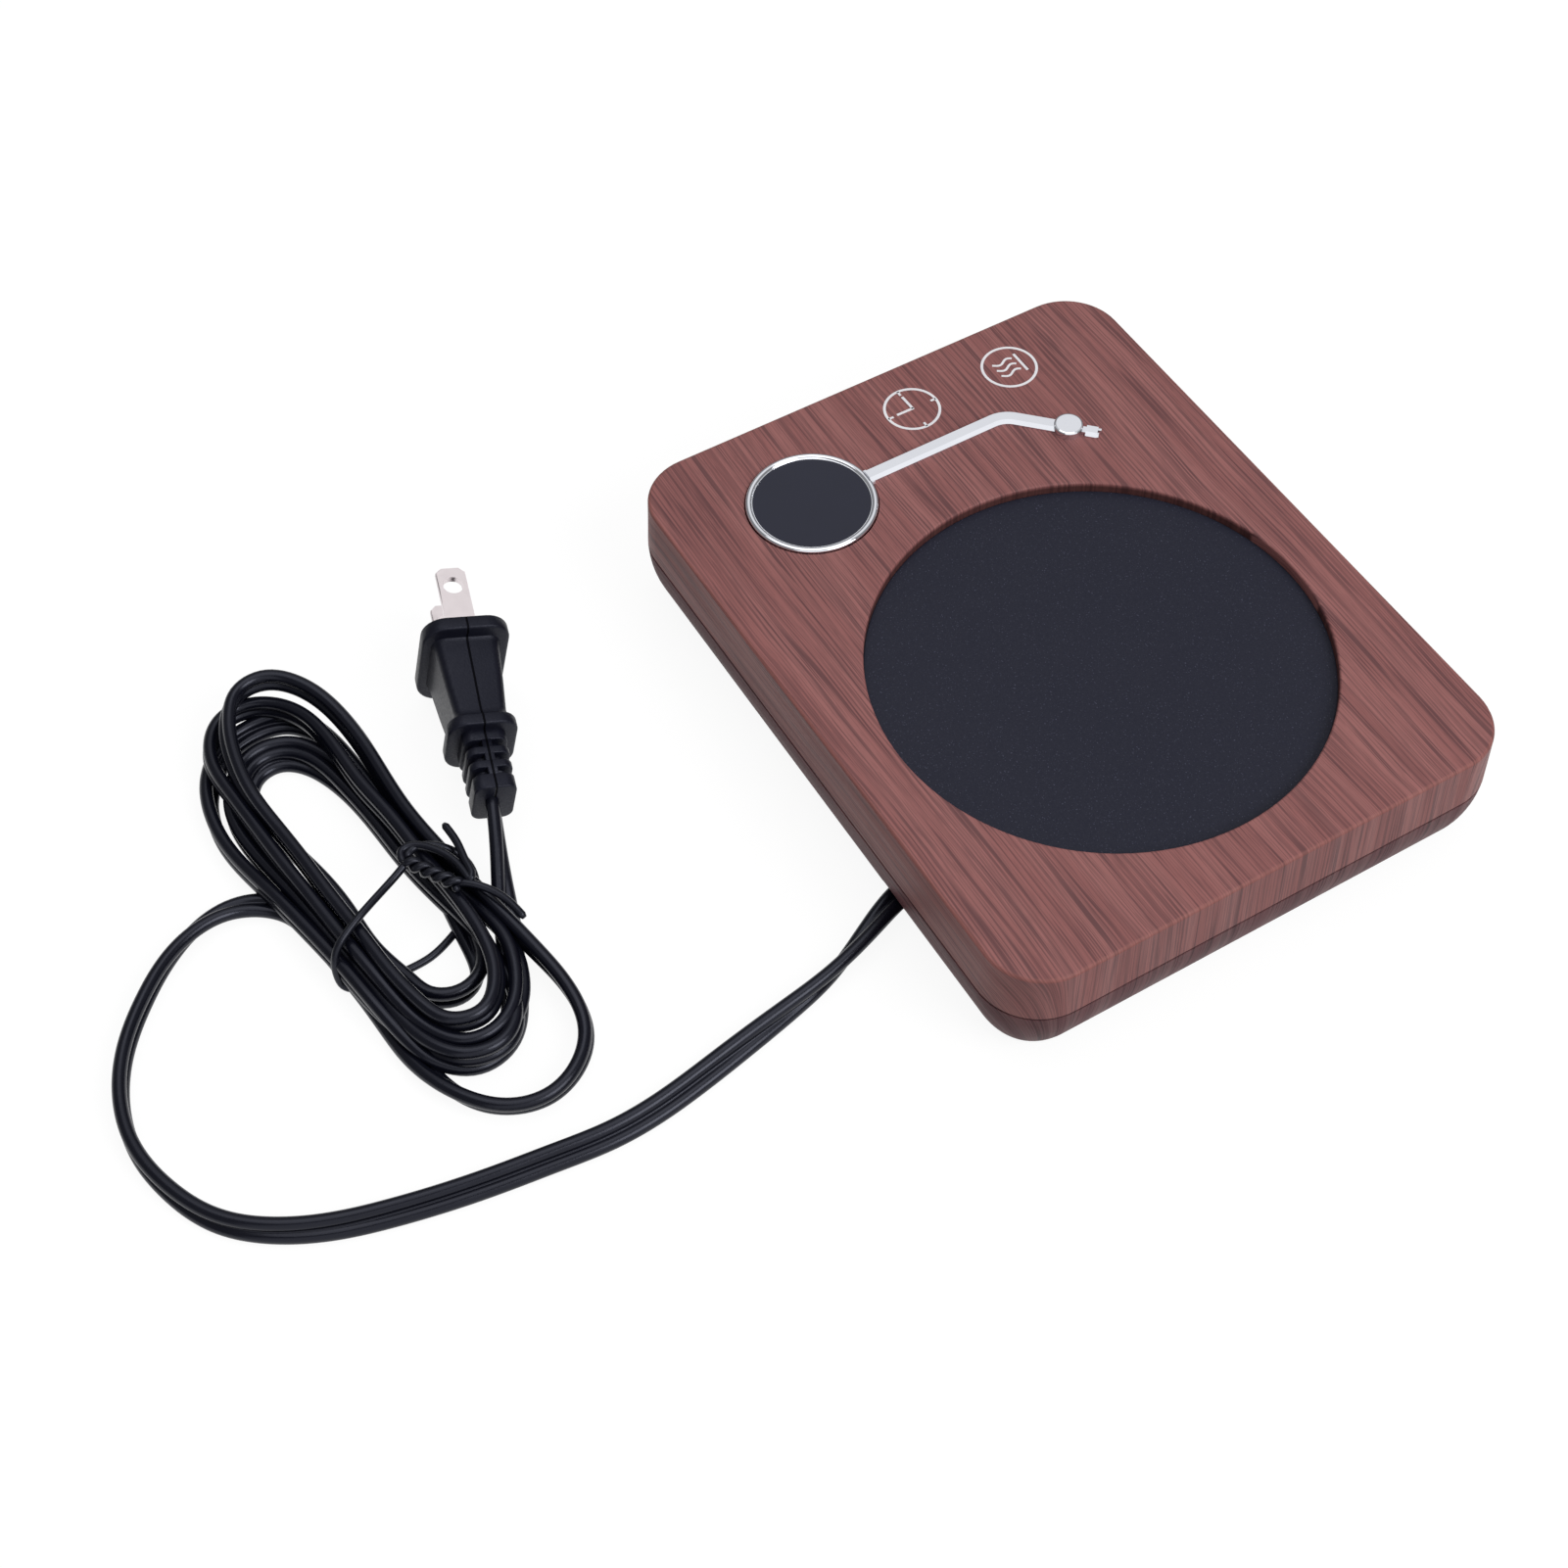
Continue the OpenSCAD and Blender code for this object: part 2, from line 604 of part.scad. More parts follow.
// Each has a slot in its side for the leads
module lead_connectors() color("#e3e0d6") for (y = [26, -8, -24]) difference() {
    box_on([43, y, control_top], [7, 9, 7.5]);
    for (s = [-2.2, 2.2]) translate([38, y + s, control_top + 4]) rotate([0, 90, 0])
        cylinder(r = 1.1, h = 4.5);
}

module pin_header() color("#26262a") {
    for (z = [control_top, display_z - 2.5]) box_on([58, -31, z], [13, 2.6, 2.5]);
    for (i = [-2:2])
        box_on([58 + i * 2.54, -31, control_top], [0.7, 0.7, display_z - control_top]);
}

// ---- Leads inside the housing ----

module lead(rows, across = [0, 1, 0]) tube(rows, round_section(0.8), across);

module heater_leads() color("#d9d4c8") {
    tab_x = recess_x + foil_d / 2 + 2.5;
    for (y = [-5, 5]) lead([[tab_x, y, foil_z - 0.8], [tab_x + 3, y - 1, foil_z - 1.5],
        [tab_x + 4.5, y - 3, foil_z - 5], [tab_x + 4.5, y * 0.6 - 5.5, 18],
        [tab_x + 5.5, y * 0.44 - 8, 15.4], [41.5, y * 0.44 - 8, control_top + 4]]);
}

module sensor_leads() color("#3f6fb5") {
    sx = recess_x + sensor_at.x;
    for (s = [-1, 1]) lead([[sx + s, sensor_at.y, bracket_z - 3],
        [sx + s, sensor_at.y, bracket_z - 4.5],
        [sx + 2 + s, sensor_at.y - 2 + s, bracket_z - 6.5],
        [sx + 12, sensor_at.y - 9 + s * 1.5, bracket_z - 8.5],
        [sx + 30, -13 + s * 2, bracket_z - 8.5], [sx + 50, -19 + s * 2, 14.5],
        [37, -24 + s * 2.2, control_top + 4], [41.5, -24 + s * 2.2, control_top + 4]]);
}

module mains_leads() color("#2b2b2e") for (s = [-1, 1])
    lead([[outlet_x + s * 1.5, clamp_y - 2, outlet_z], [outlet_x + s * 1.5, clamp_y - 4, outlet_z],
        [outlet_x + 4 + s * 1.5, 35, 5.8],
        [outlet_x + 14 + s, 27 + s, 5.8], [0, 24 + s * 1.5, 5.8], [20, 24 + s * 1.5, 6.5],
        [32, 25 + s * 2, 11], [37, 26 + s * 2.2, control_top + 4],
        [41.5, 26 + s * 2.2, control_top + 4]], [0, 0, 1]);

module cord_clamp() color("#202124") translate([outlet_x, clamp_y, clamp_z]) difference() {
    union() {
        translate([0, 0, 0]) linear_extrude(2) stadium(2 * clamp_span + 6, 6);
        translate([-cord_w / 2, -1.5, -0.35]) cube([cord_w, 3, 1]);
    }
    for (s = [-1, 1]) translate([s * clamp_span, 0, -1]) cylinder(r = m25[2], h = 5);
}

module clamp_screws() color("#9a9ca0") for (s = [-1, 1])
    translate([outlet_x + s * clamp_span, clamp_y, clamp_z + 2]) mirror([0, 0, 1])
        screw(m25[0], 5, 2.2, 1.5, 0);

// ---- Cord and plug ----

// Draws a piece of cord along a route that is given from the back wall
module cord(route) tube([for (row = route) behind(row)], cord_section());

module mains_cord() color("#1d1e24") cord(cord_route);

module cord_loop() color("#1d1e24") cord(loop_route);

// The tail leaves the plug's strain relief square to its end face
module cord_tail() color("#1d1e24")
    cord(concat([on_plug(-plug_l), on_plug(-plug_l - 4)], tail_route));

module cord_hank() color("#1d1e24") translate([hank_at.x, body_w / 2 + hank_at.y, 0])
    rotate(hank_turn) linear_extrude(hank_h) difference() {
        stadium(hank_l, hank_w);
        stadium(hank_l - hank_w + hank_gap + 8, hank_gap);
    }

// A closed band round both runs of the hank, with the twisted ends on its top
module cord_tie() color("#26272c") translate([tie_at.x, body_w / 2 + tie_at.y, 0])
    rotate(tie_turn) {
    reach = hank_w / cos(tie_turn - hank_turn) + 2 * tie_over;
    translate([-tie_w / 2, 0, 0]) rotate([90, 0, 90]) linear_extrude(tie_w) difference() {
        translate([0, (hank_h + tie_t) / 2 + 0.1]) rounded([reach, hank_h + tie_t], 1.2);
        translate([0, hank_h / 2 + tie_t / 2 + 0.1])
            square([reach - 2 * tie_t, hank_h - tie_t], center = true);
    }
    translate([0, -hank_w / 2 + 6, hank_h + tie_t + braid_r * 0.6]) rotate([0, 90, 0])
        cylinder(r = braid_r, h = braid_l, center = true);
}

// Stands the plug on its two flanges, its blades forward along its own +X
module plug_place() translate([plug_at.x, body_w / 2 + plug_at.y, plug_z]) rotate(plug_turn)
    rotate([0, -plug_tilt, 0]) children();

// A point of the cord's route on the plug's own axis
function on_plug(x) = [plug_at.x + x * cos(plug_tilt) * cos(plug_turn),
    plug_at.y + x * cos(plug_tilt) * sin(plug_turn), plug_z + x * sin(plug_tilt), 90];

// A flat outline across the plug's length, from x on for the length t
module across_plug(x, t) translate([x, 0, 0]) rotate([90, 0, 90]) linear_extrude(t) children();

module plug_body() color("#24252b") plug_place() {
    relief_x = neck_x - neck_flange_t;
    relief_l = plug_l + relief_x;
    difference() {
        union() {
            across_plug(-flange_t, flange_t) rounded([flange_w, flange_h], 5);
            hull() {
                across_plug(-flange_t - 0.5, 0.5) rounded([14.2, 18.6], 2.5, $fn = 32);
                across_plug(neck_x, 0.5) rounded([11.4, 13.4], 2.5, $fn = 32);
            }
            across_plug(relief_x, neck_flange_t) rounded([15, 16], 4);
            across_plug(relief_x - relief_l, relief_l + eps) rounded([relief_w, relief_h], 2.4);
        }
        // Slots that let the strain relief bend
        for (i = [0:2]) translate([relief_x - 2.6 - i * 3.4, 0, 0]) {
            for (y = [-1, 1], z = [-1, 1])
                translate([0, y * 2.45, z * relief_h / 2]) cube([1.7, 3.4, 4.4], center = true);
            for (y = [-1, 1])
                translate([1.7, y * relief_w / 2, 0]) cube([1.5, 3, 5], center = true);
        }
        for (z = [-1, 1]) translate([-blade_root - fit, -blade_w / 2 - fit,
            z * blade_gap / 2 - blade_t / 2 - fit])
            cube([blade_root + 1, blade_w + 2 * fit, blade_t + 2 * fit]);
    }
}

module plug_blades() color("#cfd0cc") plug_place()
    for (z = [-1, 1]) translate([0, 0, z * blade_gap / 2 - blade_t / 2])
        linear_extrude(blade_t) difference() {
            union() {
                translate([-blade_root, -blade_w / 2])
                    square([blade_root + blade_l - 1.6, blade_w]);
                translate([blade_l - 3.2, 0]) rounded([6.4, blade_w], 1.6);
            }
            translate([blade_l - 4.7, 0]) circle(r = 1.6);
        }

top_cover();
base_shell();
heating_plate();
heater_foil();
insulation_pad();
plate_bracket();
bracket_screws();
temperature_sensor();
thermal_fuse();
fuse_clip();
tonearm_trim();
display_lens();
display_board();
led_display();
touch_springs();
display_screws();
control_board();
control_screws();
transformer();
relay();
filter_capacitor();
film_capacitor();
board_fuse();
lead_connectors();
pin_header();
heater_leads();
sensor_leads();
mains_leads();
cord_clamp();
clamp_screws();
rubber_feet();
housing_screws();
mains_cord();
cord_loop();
cord_tail();
cord_hank();
cord_tie();
plug_body();
plug_blades();
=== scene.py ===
"""Electric mug warmer with a hanked flat mains cord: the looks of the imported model."""
import math

import bpy
import numpy as np
from mathutils import Matrix, Vector


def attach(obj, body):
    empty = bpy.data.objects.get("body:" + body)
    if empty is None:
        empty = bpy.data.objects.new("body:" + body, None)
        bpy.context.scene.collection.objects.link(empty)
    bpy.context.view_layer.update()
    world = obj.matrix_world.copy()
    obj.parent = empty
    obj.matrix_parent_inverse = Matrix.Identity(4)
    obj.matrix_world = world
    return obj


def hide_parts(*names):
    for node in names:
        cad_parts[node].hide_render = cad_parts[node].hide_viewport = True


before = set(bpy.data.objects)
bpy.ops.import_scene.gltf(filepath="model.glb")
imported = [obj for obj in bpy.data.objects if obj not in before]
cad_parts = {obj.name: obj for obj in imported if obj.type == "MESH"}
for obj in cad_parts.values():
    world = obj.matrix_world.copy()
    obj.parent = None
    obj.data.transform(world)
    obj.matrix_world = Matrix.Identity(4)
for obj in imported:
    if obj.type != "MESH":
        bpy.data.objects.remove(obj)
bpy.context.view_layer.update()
MM = 0.001  # shapes are drawn in millimetres and scaled when they become objects
UP = np.array((0, 0, 1))

# ---- Camera: the photograph's viewing angle ----

EYE = Vector((-0.26640, 0.21914, 0.43129))
CAMERA_RIGHT = Vector((-0.50906, -0.86067, -0.01056))
CAMERA_UP = Vector((0.69058, -0.41571, 0.59185))
CAMERA_BACK = Vector((-0.51377, 0.29399, 0.80598))
LENS = 57.42

camera_data = bpy.data.cameras.new("camera")
camera_data.lens = LENS
camera_data.sensor_width = 36
camera_data.shift_x, camera_data.shift_y = 0.0007, -0.0008
camera_data.clip_start = 0.01
camera = bpy.data.objects.new("camera", camera_data)
turned = Matrix((CAMERA_RIGHT, CAMERA_UP, CAMERA_BACK)).transposed().to_4x4()
camera.matrix_world = Matrix.Translation(EYE) @ turned
bpy.context.scene.collection.objects.link(camera)
bpy.context.scene.camera = camera

# ---- Mesh helpers ----


def new_object(name, verts, faces, smooth=True):
    """A mesh object in the scene, its vertices in metres."""
    mesh = bpy.data.meshes.new(name)
    mesh.from_pydata([tuple(v) for v in verts], [], [tuple(f) for f in faces])
    mesh.update()
    mesh.polygons.foreach_set("use_smooth", [smooth] * len(mesh.polygons))
    obj = bpy.data.objects.new(name, mesh)
    bpy.context.scene.collection.objects.link(obj)
    return obj


def joined(name, parts, smooth=True):
    """One object from several (vertices, faces) in millimetres."""
    verts, faces, base = [], [], 0
    for v, f in parts:
        verts.append(v)
        faces += [[base + k for k in face] for face in f]
        base += len(v)
    return new_object(name, np.concatenate(verts) * MM, faces, smooth)


def unit(vectors):
    """The same vectors at length one."""
    return vectors / np.linalg.norm(vectors, axis=-1, keepdims=True)


def skin(rows, n):
    """Faces round a tube of rows of n points each, open at both ends."""
    return [
        (i * n + j, i * n + (j + 1) % n, (i + 1) * n + (j + 1) % n, (i + 1) * n + j)
        for i in range(rows - 1)
        for j in range(n)
    ]


def capped(rows, n):
    """Faces of the same tube, closed at both ends."""
    last = (rows - 1) * n
    return [tuple(range(n))[::-1], *skin(rows, n), tuple(range(last, last + n))]


def spline(rows, step):
    """Points at most a step apart on one smooth curve through all the rows."""
    p = np.asarray(rows, float)
    gaps = np.linalg.norm(np.diff(p[:, :3], axis=0), axis=1)
    h = np.sqrt(gaps)
    n = len(p)
    a = np.eye(n)
    b = np.zeros(p.shape)
    for i in range(1, n - 1):
        a[i, i - 1 : i + 2] = h[i - 1], 2 * (h[i - 1] + h[i]), h[i]
        b[i] = 6 * ((p[i + 1] - p[i]) / h[i] - (p[i] - p[i - 1]) / h[i - 1])
    m = np.linalg.solve(a, b)
    out = []
    for i in range(n - 1):
        count = max(int(math.ceil(gaps[i] / step)), 1)
        for j in range(count):
            s = h[i] * j / count
            u = h[i] - s
            out.append(
                (m[i] * u**3 + m[i + 1] * s**3) / (6 * h[i])
                + (p[i] / h[i] - m[i] * h[i] / 6) * u
                + (p[i + 1] / h[i] - m[i + 1] * h[i] / 6) * s
            )
    out.append(p[-1])
    return np.array(out)


def tube(points, section, turns):
    """A section swept along a path that is nowhere upright, turned by turns degrees."""
    heading = unit(np.gradient(points[:, :3], axis=0))
    side = unit(np.cross(heading, UP))
    up = np.cross(side, heading)
    c = np.cos(np.radians(turns))[:, None]
    s = np.sin(np.radians(turns))[:, None]
    wide = side * c + up * s
    high = up * c - side * s
    rings = (
        points[:, None, :3]
        + wide[:, None, :] * section[None, :, :1]
        + high[:, None, :] * section[None, :, 1:]
    )
    return rings.reshape(-1, 3), capped(len(points), len(section))


# ---- Mains cord ----

CORD_W = 5.7
CORD_T = 2.9
CORD_WEB = 0.62  # half the thickness of the web between the cores
CORD_FILLET = (0.26, 0.18)  # the web's half width, and its rise to the cores
LOBE_TURN = 128  # degrees of a core's outline above and below its outer side
CORD_STEP = 1.2

# x, y and z in mm, and the angle that the cord's width is turned from level
CORD_ROUTE = [
    (-31, 44, 5.5, 0), (-31.1, 55.4, 5.4, -3), (-35, 67.1, 4.2, -38),
    (-39.4, 78.7, 3.2, -80), (-42.1, 89.8, 3, -107), (-44.2, 100.8, 2.8, -130),
    (-46.2, 111.8, 2.4, -146), (-48, 122.8, 2.4, -147), (-48.5, 134.1, 2.4, -147),
    (-47.3, 145.5, 2.4, -147), (-45.9, 156.3, 2.4, -147), (-44.1, 167.1, 2.4, -146),
    (-41.8, 177.7, 2.5, -140), (-38.8, 188.1, 2.7, -132), (-33.8, 198.4, 2.9, -120),
    (-26.1, 207, 3, -110), (-15.3, 212.3, 3.1, -100), (-4.1, 214.3, 3.1, -93),
    (7.2, 212.5, 3.1, -90), (17.4, 207.4, 3.1, -90), (26.1, 199.9, 3.1, -94),
    (33.4, 191.1, 2.9, -107), (37.7, 180.7, 2.4, -140), (36.9, 172.5, 1.8, -169),
    (32, 166.3, 1.5, -180), (24.7, 163.5, 1.5, -180), (16.3, 162.1, 1.5, -180),
    (5.4, 160.6, 1.5, -180), (-5.6, 159.7, 1.7, -174), (-17, 158.5, 2.5, -137),
    (-27.4, 154.2, 2.9, -108), (-33.3, 147.7, 2.9, -108), (-34.9, 139.8, 2.9, -104),
    (-31.8, 132.3, 3, -94), (-25.3, 127.2, 3.4, -84), (-15.8, 126.1, 4.5, -81),
    (-6.5, 127.7, 5.7, -88), (4.1, 130.1, 6.8, -94), (14.8, 132.7, 8.1, -99),
    (26, 134.8, 8.5, -100), (37.4, 136.2, 8.5, -100), (48.9, 136.4, 8.3, -100),
    (59.9, 136.7, 8.7, -100), (71.1, 138.7, 9.8, -96), (78.5, 142.6, 10.9, -92),
    (82.6, 148.1, 11.3, -87), (81.8, 154.7, 11.2, -74), (76.5, 159, 10.9, -64),
    (69.8, 161.3, 10.5, -64), (58.4, 162.4, 9.8, -76), (46.9, 161, 8.9, -88),
    (36, 159.6, 8.8, -90), (25, 158.5, 8.8, -90), (14.1, 157.2, 8.8, -90),
    (3.2, 156, 8.8, -90), (-7.6, 153.6, 8.5, -91), (-13.3, 150.3, 8.3, -93),
    (-14.7, 144, 8.2, -89), (-10.6, 139.1, 8.3, -80), (-4.3, 136.6, 8.5, -76),
    (4.1, 136.1, 8.8, -83), (15.1, 137, 8.8, -90), (26, 138.4, 8.8, -90),
    (37.4, 139.6, 8.8, -90), (48.4, 141.3, 8.6, -92), (59.9, 142, 8.3, -93),
    (70.8, 143.7, 7.4, -94), (77.7, 147.5, 6.6, -93), (81.4, 153.3, 6.2, -88),
    (80.7, 159.6, 6.2, -82), (76, 164.1, 6.4, -78), (68.9, 166, 6.7, -82),
    (60.2, 165.5, 7, -89), (49.3, 164.5, 7.4, -90), (38.3, 163.4, 7.7, -90),
    (27.4, 162, 7.8, -90), (16.5, 160.6, 7.8, -90), (5.2, 158.8, 7.5, -90),
    (-6, 156.6, 6.2, -90), (-12.9, 153.9, 5.8, -90), (-17.8, 149.5, 5.8, -88),
    (-18.6, 142.9, 5.8, -78), (-15.2, 137.2, 5.9, -68), (-9.5, 133.6, 6.1, -63),
    (-0.8, 131.7, 6.2, -70), (10.4, 133.5, 5.5, -85), (21, 136.3, 4.3, -90),
    (32.2, 138.3, 3.1, -90), (43.2, 139.3, 2.9, -90), (54.6, 140.7, 2.9, -90),
    (65.2, 144.8, 2.9, -90), (69.6, 148.6, 2.9, -90), (71.3, 154, 2.9, -92),
    (69.6, 160.2, 2.9, -90), (64.6, 164.6, 2.9, -90), (57.4, 167.1, 2.9, -90),
    (46, 166.6, 3.2, -90), (35.2, 164.8, 4.1, -90), (24.4, 163, 4.5, -90),
    (13.5, 161.3, 4.5, -90), (2.6, 159.7, 4.7, -90), (-8.2, 157.9, 5.2, -90),
    (-16.4, 154.7, 5.7, -90), (-20.9, 149.8, 5.8, -90), (-21.4, 143.1, 5.6, -88),
    (-17.3, 138.3, 5, -87), (-10.9, 135.9, 4.1, -89), (-3.5, 135.3, 3.4, -90),
    (7.9, 136.4, 3.4, -90), (19.2, 138.8, 3.4, -90), (30.5, 140.7, 3, -90),
    (41.4, 141.8, 2.9, -90), (52.8, 143.6, 2.9, -92), (63.3, 147.2, 2.8, -118),
    (68, 152.8, 2.6, -134), (66.6, 159, 2.6, -130), (60.8, 162.1, 2.8, -110),
    (53.9, 161.6, 2.9, -90), (45.6, 159.9, 2.9, -90), (34.4, 157.3, 2.9, -90),
    (23.5, 155.9, 2.9, -90), (12.5, 155.1, 2.9, -90), (2.8, 152.5, 2.9, -90),
    (-2.7, 150.3, 2.9, -90), (-5.2, 145.2, 2.9, -94), (-3.1, 140, 2.8, -110),
    (2.2, 137.7, 2.4, -140), (9.4, 136.9, 2, -162), (20, 136.3, 2.2, -150),
    (33, 137.2, 2.9, -105), (46.8, 138.2, 2.9, -90), (59.5, 139.4, 2.9, -92),
    (70, 142, 2.9, -106), (76.6, 146.8, 2.6, -132), (78.3, 153.2, 2.2, -152),
    (76.8, 160.2, 2.2, -150), (72.2, 165.5, 2.6, -130), (65.2, 169.5, 2.9, -102),
    (54.7, 171.2, 2.9, -90), (43.3, 169.9, 3.8, -90), (32.2, 167.6, 5.4, -90),
    (21, 165.2, 5.8, -90), (10.2, 163.1, 5.8, -90), (-0.7, 161.2, 5.5, -94),
    (-11.6, 158.1, 3.9, -122), (-17.1, 154.5, 2.5, -154), (-20.3, 148.8, 1.7, -175),
    (-19, 142.1, 1.5, -180), (-14.2, 137.6, 1.5, -180), (-7.9, 134.6, 1.5, -180),
    (2.2, 130.4, 2.4, -189), (12.7, 126.3, 5.4, -236), (22.7, 122.2, 9.4, -265),
    (32, 118.7, 11.5, -270),
]


def cord_section():
    """Outline of the flat cord: two round cores joined by a thinner web."""
    r = CORD_T / 2
    offset = CORD_W / 2 - r
    lobe = [
        (offset + r * math.cos(a), r * math.sin(a))
        for a in np.radians(np.linspace(-LOBE_TURN, LOBE_TURN, 17))
    ]
    x, rise = CORD_FILLET
    half = [(0, -CORD_WEB), (x, -CORD_WEB - rise), *lobe, (x, CORD_WEB + rise)]
    return np.array(half + [(-x, -y) for x, y in half])


def lift(rows):
    """Keeps the cord's underside on the floor, however its width is turned."""
    r = CORD_T / 2
    low = r + (CORD_W / 2 - r) * np.abs(np.sin(np.radians(rows[:, 3])))
    rows[:, 2] = np.maximum(rows[:, 2], low + 0.02)
    return rows


route = lift(spline(CORD_ROUTE, CORD_STEP))
cord = joined("flat_mains_cord", [tube(route, cord_section(), route[:, 3])])

# ---- Wire tie round the hank ----

WIRE_R = 0.85
WIRE_STEP = 0.8
WIRE_END = 0.6  # share of the radius that is left at its two ends

BAND = [
    (22.6, 142.0, 13.3), (21.6, 143.8, 12.9), (19.7, 147.9, 12.5), (15.9, 155.2, 12.9),
    (13.6, 159.8, 12.3), (12.2, 162.6, 11), (11.2, 164.1, 8.5), (10.4, 164.6, 5),
    (9.3, 164.2, 2.1), (7.6, 161.5, 1.1), (6.6, 151, 1), (7.2, 145, 1),
    (10.3, 138, 1.1), (14.6, 132, 1.8), (18, 130.2, 5.6), (20.6, 131.7, 10.2),
    (23.4, 135.3, 12.6), (24.9, 139.4, 12.9), (23.5, 142, 12.9),
]
KNOT_FROM = np.array((22.6, 142.2, 13.2))
KNOT_TO = np.array((11.6, 135.5, 13.2))
KNOT_TURNS = 2.5
KNOT_R = 0.86
END_A = [
    (22.6, 142.8, 12.9), (25.2, 142.3, 13), (25.7, 140, 13.2), (22.8, 136.6, 13.5),
    (18.4, 134.2, 13.6), (13.8, 133.4, 13.6), (11.6, 133.1, 13.6), (12.6, 132.3, 13.7),
    (15.8, 132, 13.8), (20.7, 131.5, 13.9), (26.4, 131.8, 14),
]
END_B = [
    (13, 136.2, 12.9), (11.4, 134, 13.2), (9.2, 131.6, 12.8), (5.6, 128.8, 11.4),
    (0.4, 127, 9.3),
]


def wire(points):
    """A round wire. Its frame is carried along, so that it may run upright."""
    a = np.linspace(0, 2 * math.pi, 12, endpoint=False)
    section = WIRE_R * np.stack([np.cos(a), np.sin(a)], 1)
    p = spline(points, WIRE_STEP)
    heading = unit(np.gradient(p, axis=0))
    side = np.cross(heading[0], (0.3, 0.2, 1))
    rings = []
    for i, t in enumerate(heading):
        side = unit(side - t * np.dot(side, t))
        high = np.cross(side, t)
        full = WIRE_END if i in (0, len(p) - 1) else 1.0
        rings.append(p[i] + full * (section[:, :1] * side + section[:, 1:] * high))
    return np.concatenate(rings), capped(len(p), len(section))


def knot(phase):
    """Path of one of the two wires twisted together, from a phase of a full turn."""
    along = KNOT_TO - KNOT_FROM
    side = unit(np.cross(along, UP))
    out = []
    for s in np.linspace(0, 1, 40):
        a = 2 * math.pi * (KNOT_TURNS * s + phase)
        off = side * math.cos(a) + UP * math.sin(a)
        out.append(KNOT_FROM + along * s + KNOT_R * off)
    return out


tie = joined("wire_tie", [wire(p) for p in (BAND, knot(0), knot(0.5), END_A, END_B)])

# ---- Chrome trim: ring, arm, elbow, cap and tip ----

TOP_Z = 29.5
RING_AT = (51.2, 28.9)
RIM = (13.77, 0.72, 0.26, 0.56)  # the ring's rounded rim: radius, reach, rise, height
CAP_AT = (40.8, -31.2)
CAP_R = 3.25
ARM_X = 51.3
ARM_START = 14.1  # from the ring's centre
ARM_TURN = 45  # degrees at the elbow
ELBOW_Y = -20.7
ELBOW_R = 7
STAKE_LOW = 26.2
STAKE_NECK = STAKE_LOW + 0.9
TO_TIP = -np.array((math.sqrt(0.5), math.sqrt(0.5)))  # the arm's heading past the cap

# Forms across a bar: offset to the side, and height above the top face
ARM_FORM = [
    (-1.72, -0.02), (-1.72, 0.42), (-1.12, 1.32),
    (1.12, 1.32), (1.72, 0.42), (1.72, -0.02),
]
ROOT_FORM = [(-2.2, 0), (-2.0, 0.5), (2.0, 0.5), (2.2, 0)]
COLLAR_FORM = [(-1.7, 0), (-1.5, 0.45), (1.5, 0.45), (1.7, 0)]
NECK_FORM = [(-0.9, 0), (-0.9, 0.95), (0.9, 0.95), (0.9, 0)]
BLOCK_FORM = [(a * 0.86, h * 1.1) for a, h in ARM_FORM]
PRONG_FORM = [(-1.35, 0.1), (-1.35, 0.5), (-1.0, 1.0), (-0.35, 1.0), (-0.35, 0.1)]
OTHER_PRONG_FORM = [(-a, h) for a, h in PRONG_FORM][::-1]


def banded(rings):
    """A crisp-edged skin: each pair of neighbouring rings gets vertices of its own."""
    n = len(rings[0])
    verts, faces = [], []
    for pair in zip(rings, rings[1:]):
        base = len(verts) * n
        verts += pair
        faces += [[base + k for k in face] for face in skin(2, n)]
    return np.concatenate(verts), faces


def lathe(centre, profile, crisp=True, count=112):
    """A body turned about an upright axis from (radius, z) points, outer side first."""
    a = np.linspace(0, 2 * math.pi, count, endpoint=False)
    x, y = centre
    rings = [
        np.stack([x + r * np.cos(a), y + r * np.sin(a), np.full(count, z)], 1)
        for r, z in profile
    ]
    return banded(rings) if crisp else (np.concatenate(rings), skin(len(rings), count))


def bar(path, form):
    """A bar with a bevelled form swept along a level path; its facets stay crisp."""
    p = np.asarray(path, float)
    t = unit(np.gradient(p, axis=0))
    side = np.stack([t[:, 1], -t[:, 0]], 1)
    m, n = len(p), len(form)
    lines = [
        np.column_stack([p + side * a, np.full(m, TOP_Z + h)])
        for a, h in form + form[:1]
    ]
    verts, faces = [], []
    for pair in zip(lines, lines[1:]):
        base = len(verts) * m
        verts += pair
        faces += [(i, i + 1, m + i + 1, m + i) for i in range(base, base + m - 1)]
    base = len(verts) * m
    ends = [np.array([line[i] for line in lines[:-1]]) for i in (0, -1)]
    faces += [tuple(range(base, base + n))[::-1], tuple(range(base + n, base + 2 * n))]
    return np.concatenate(verts + ends), faces


def arm_path():
    """Middle line of the arm from the ring round the elbow to the cap."""
    bend = ELBOW_Y + ELBOW_R * math.tan(math.radians(ARM_TURN / 2))
    out = [(ARM_X, y) for y in np.linspace(RING_AT[1] - ARM_START, bend, 8)]
    for a in np.radians(np.linspace(3, ARM_TURN, 15)):
        x = ARM_X - ELBOW_R * (1 - math.cos(a))
        out.append((x, bend - ELBOW_R * math.sin(a)))
    last = np.array(out[-1])
    out += [tuple(last + (np.array(CAP_AT) - last) * s) for s in (0.3, 0.6, 0.9)]
    return out


def on_tip(*steps):
    """Points past the cap, toward the tip, at these distances from its middle."""
    return [tuple(np.array(CAP_AT) + TO_TIP * s) for s in steps]


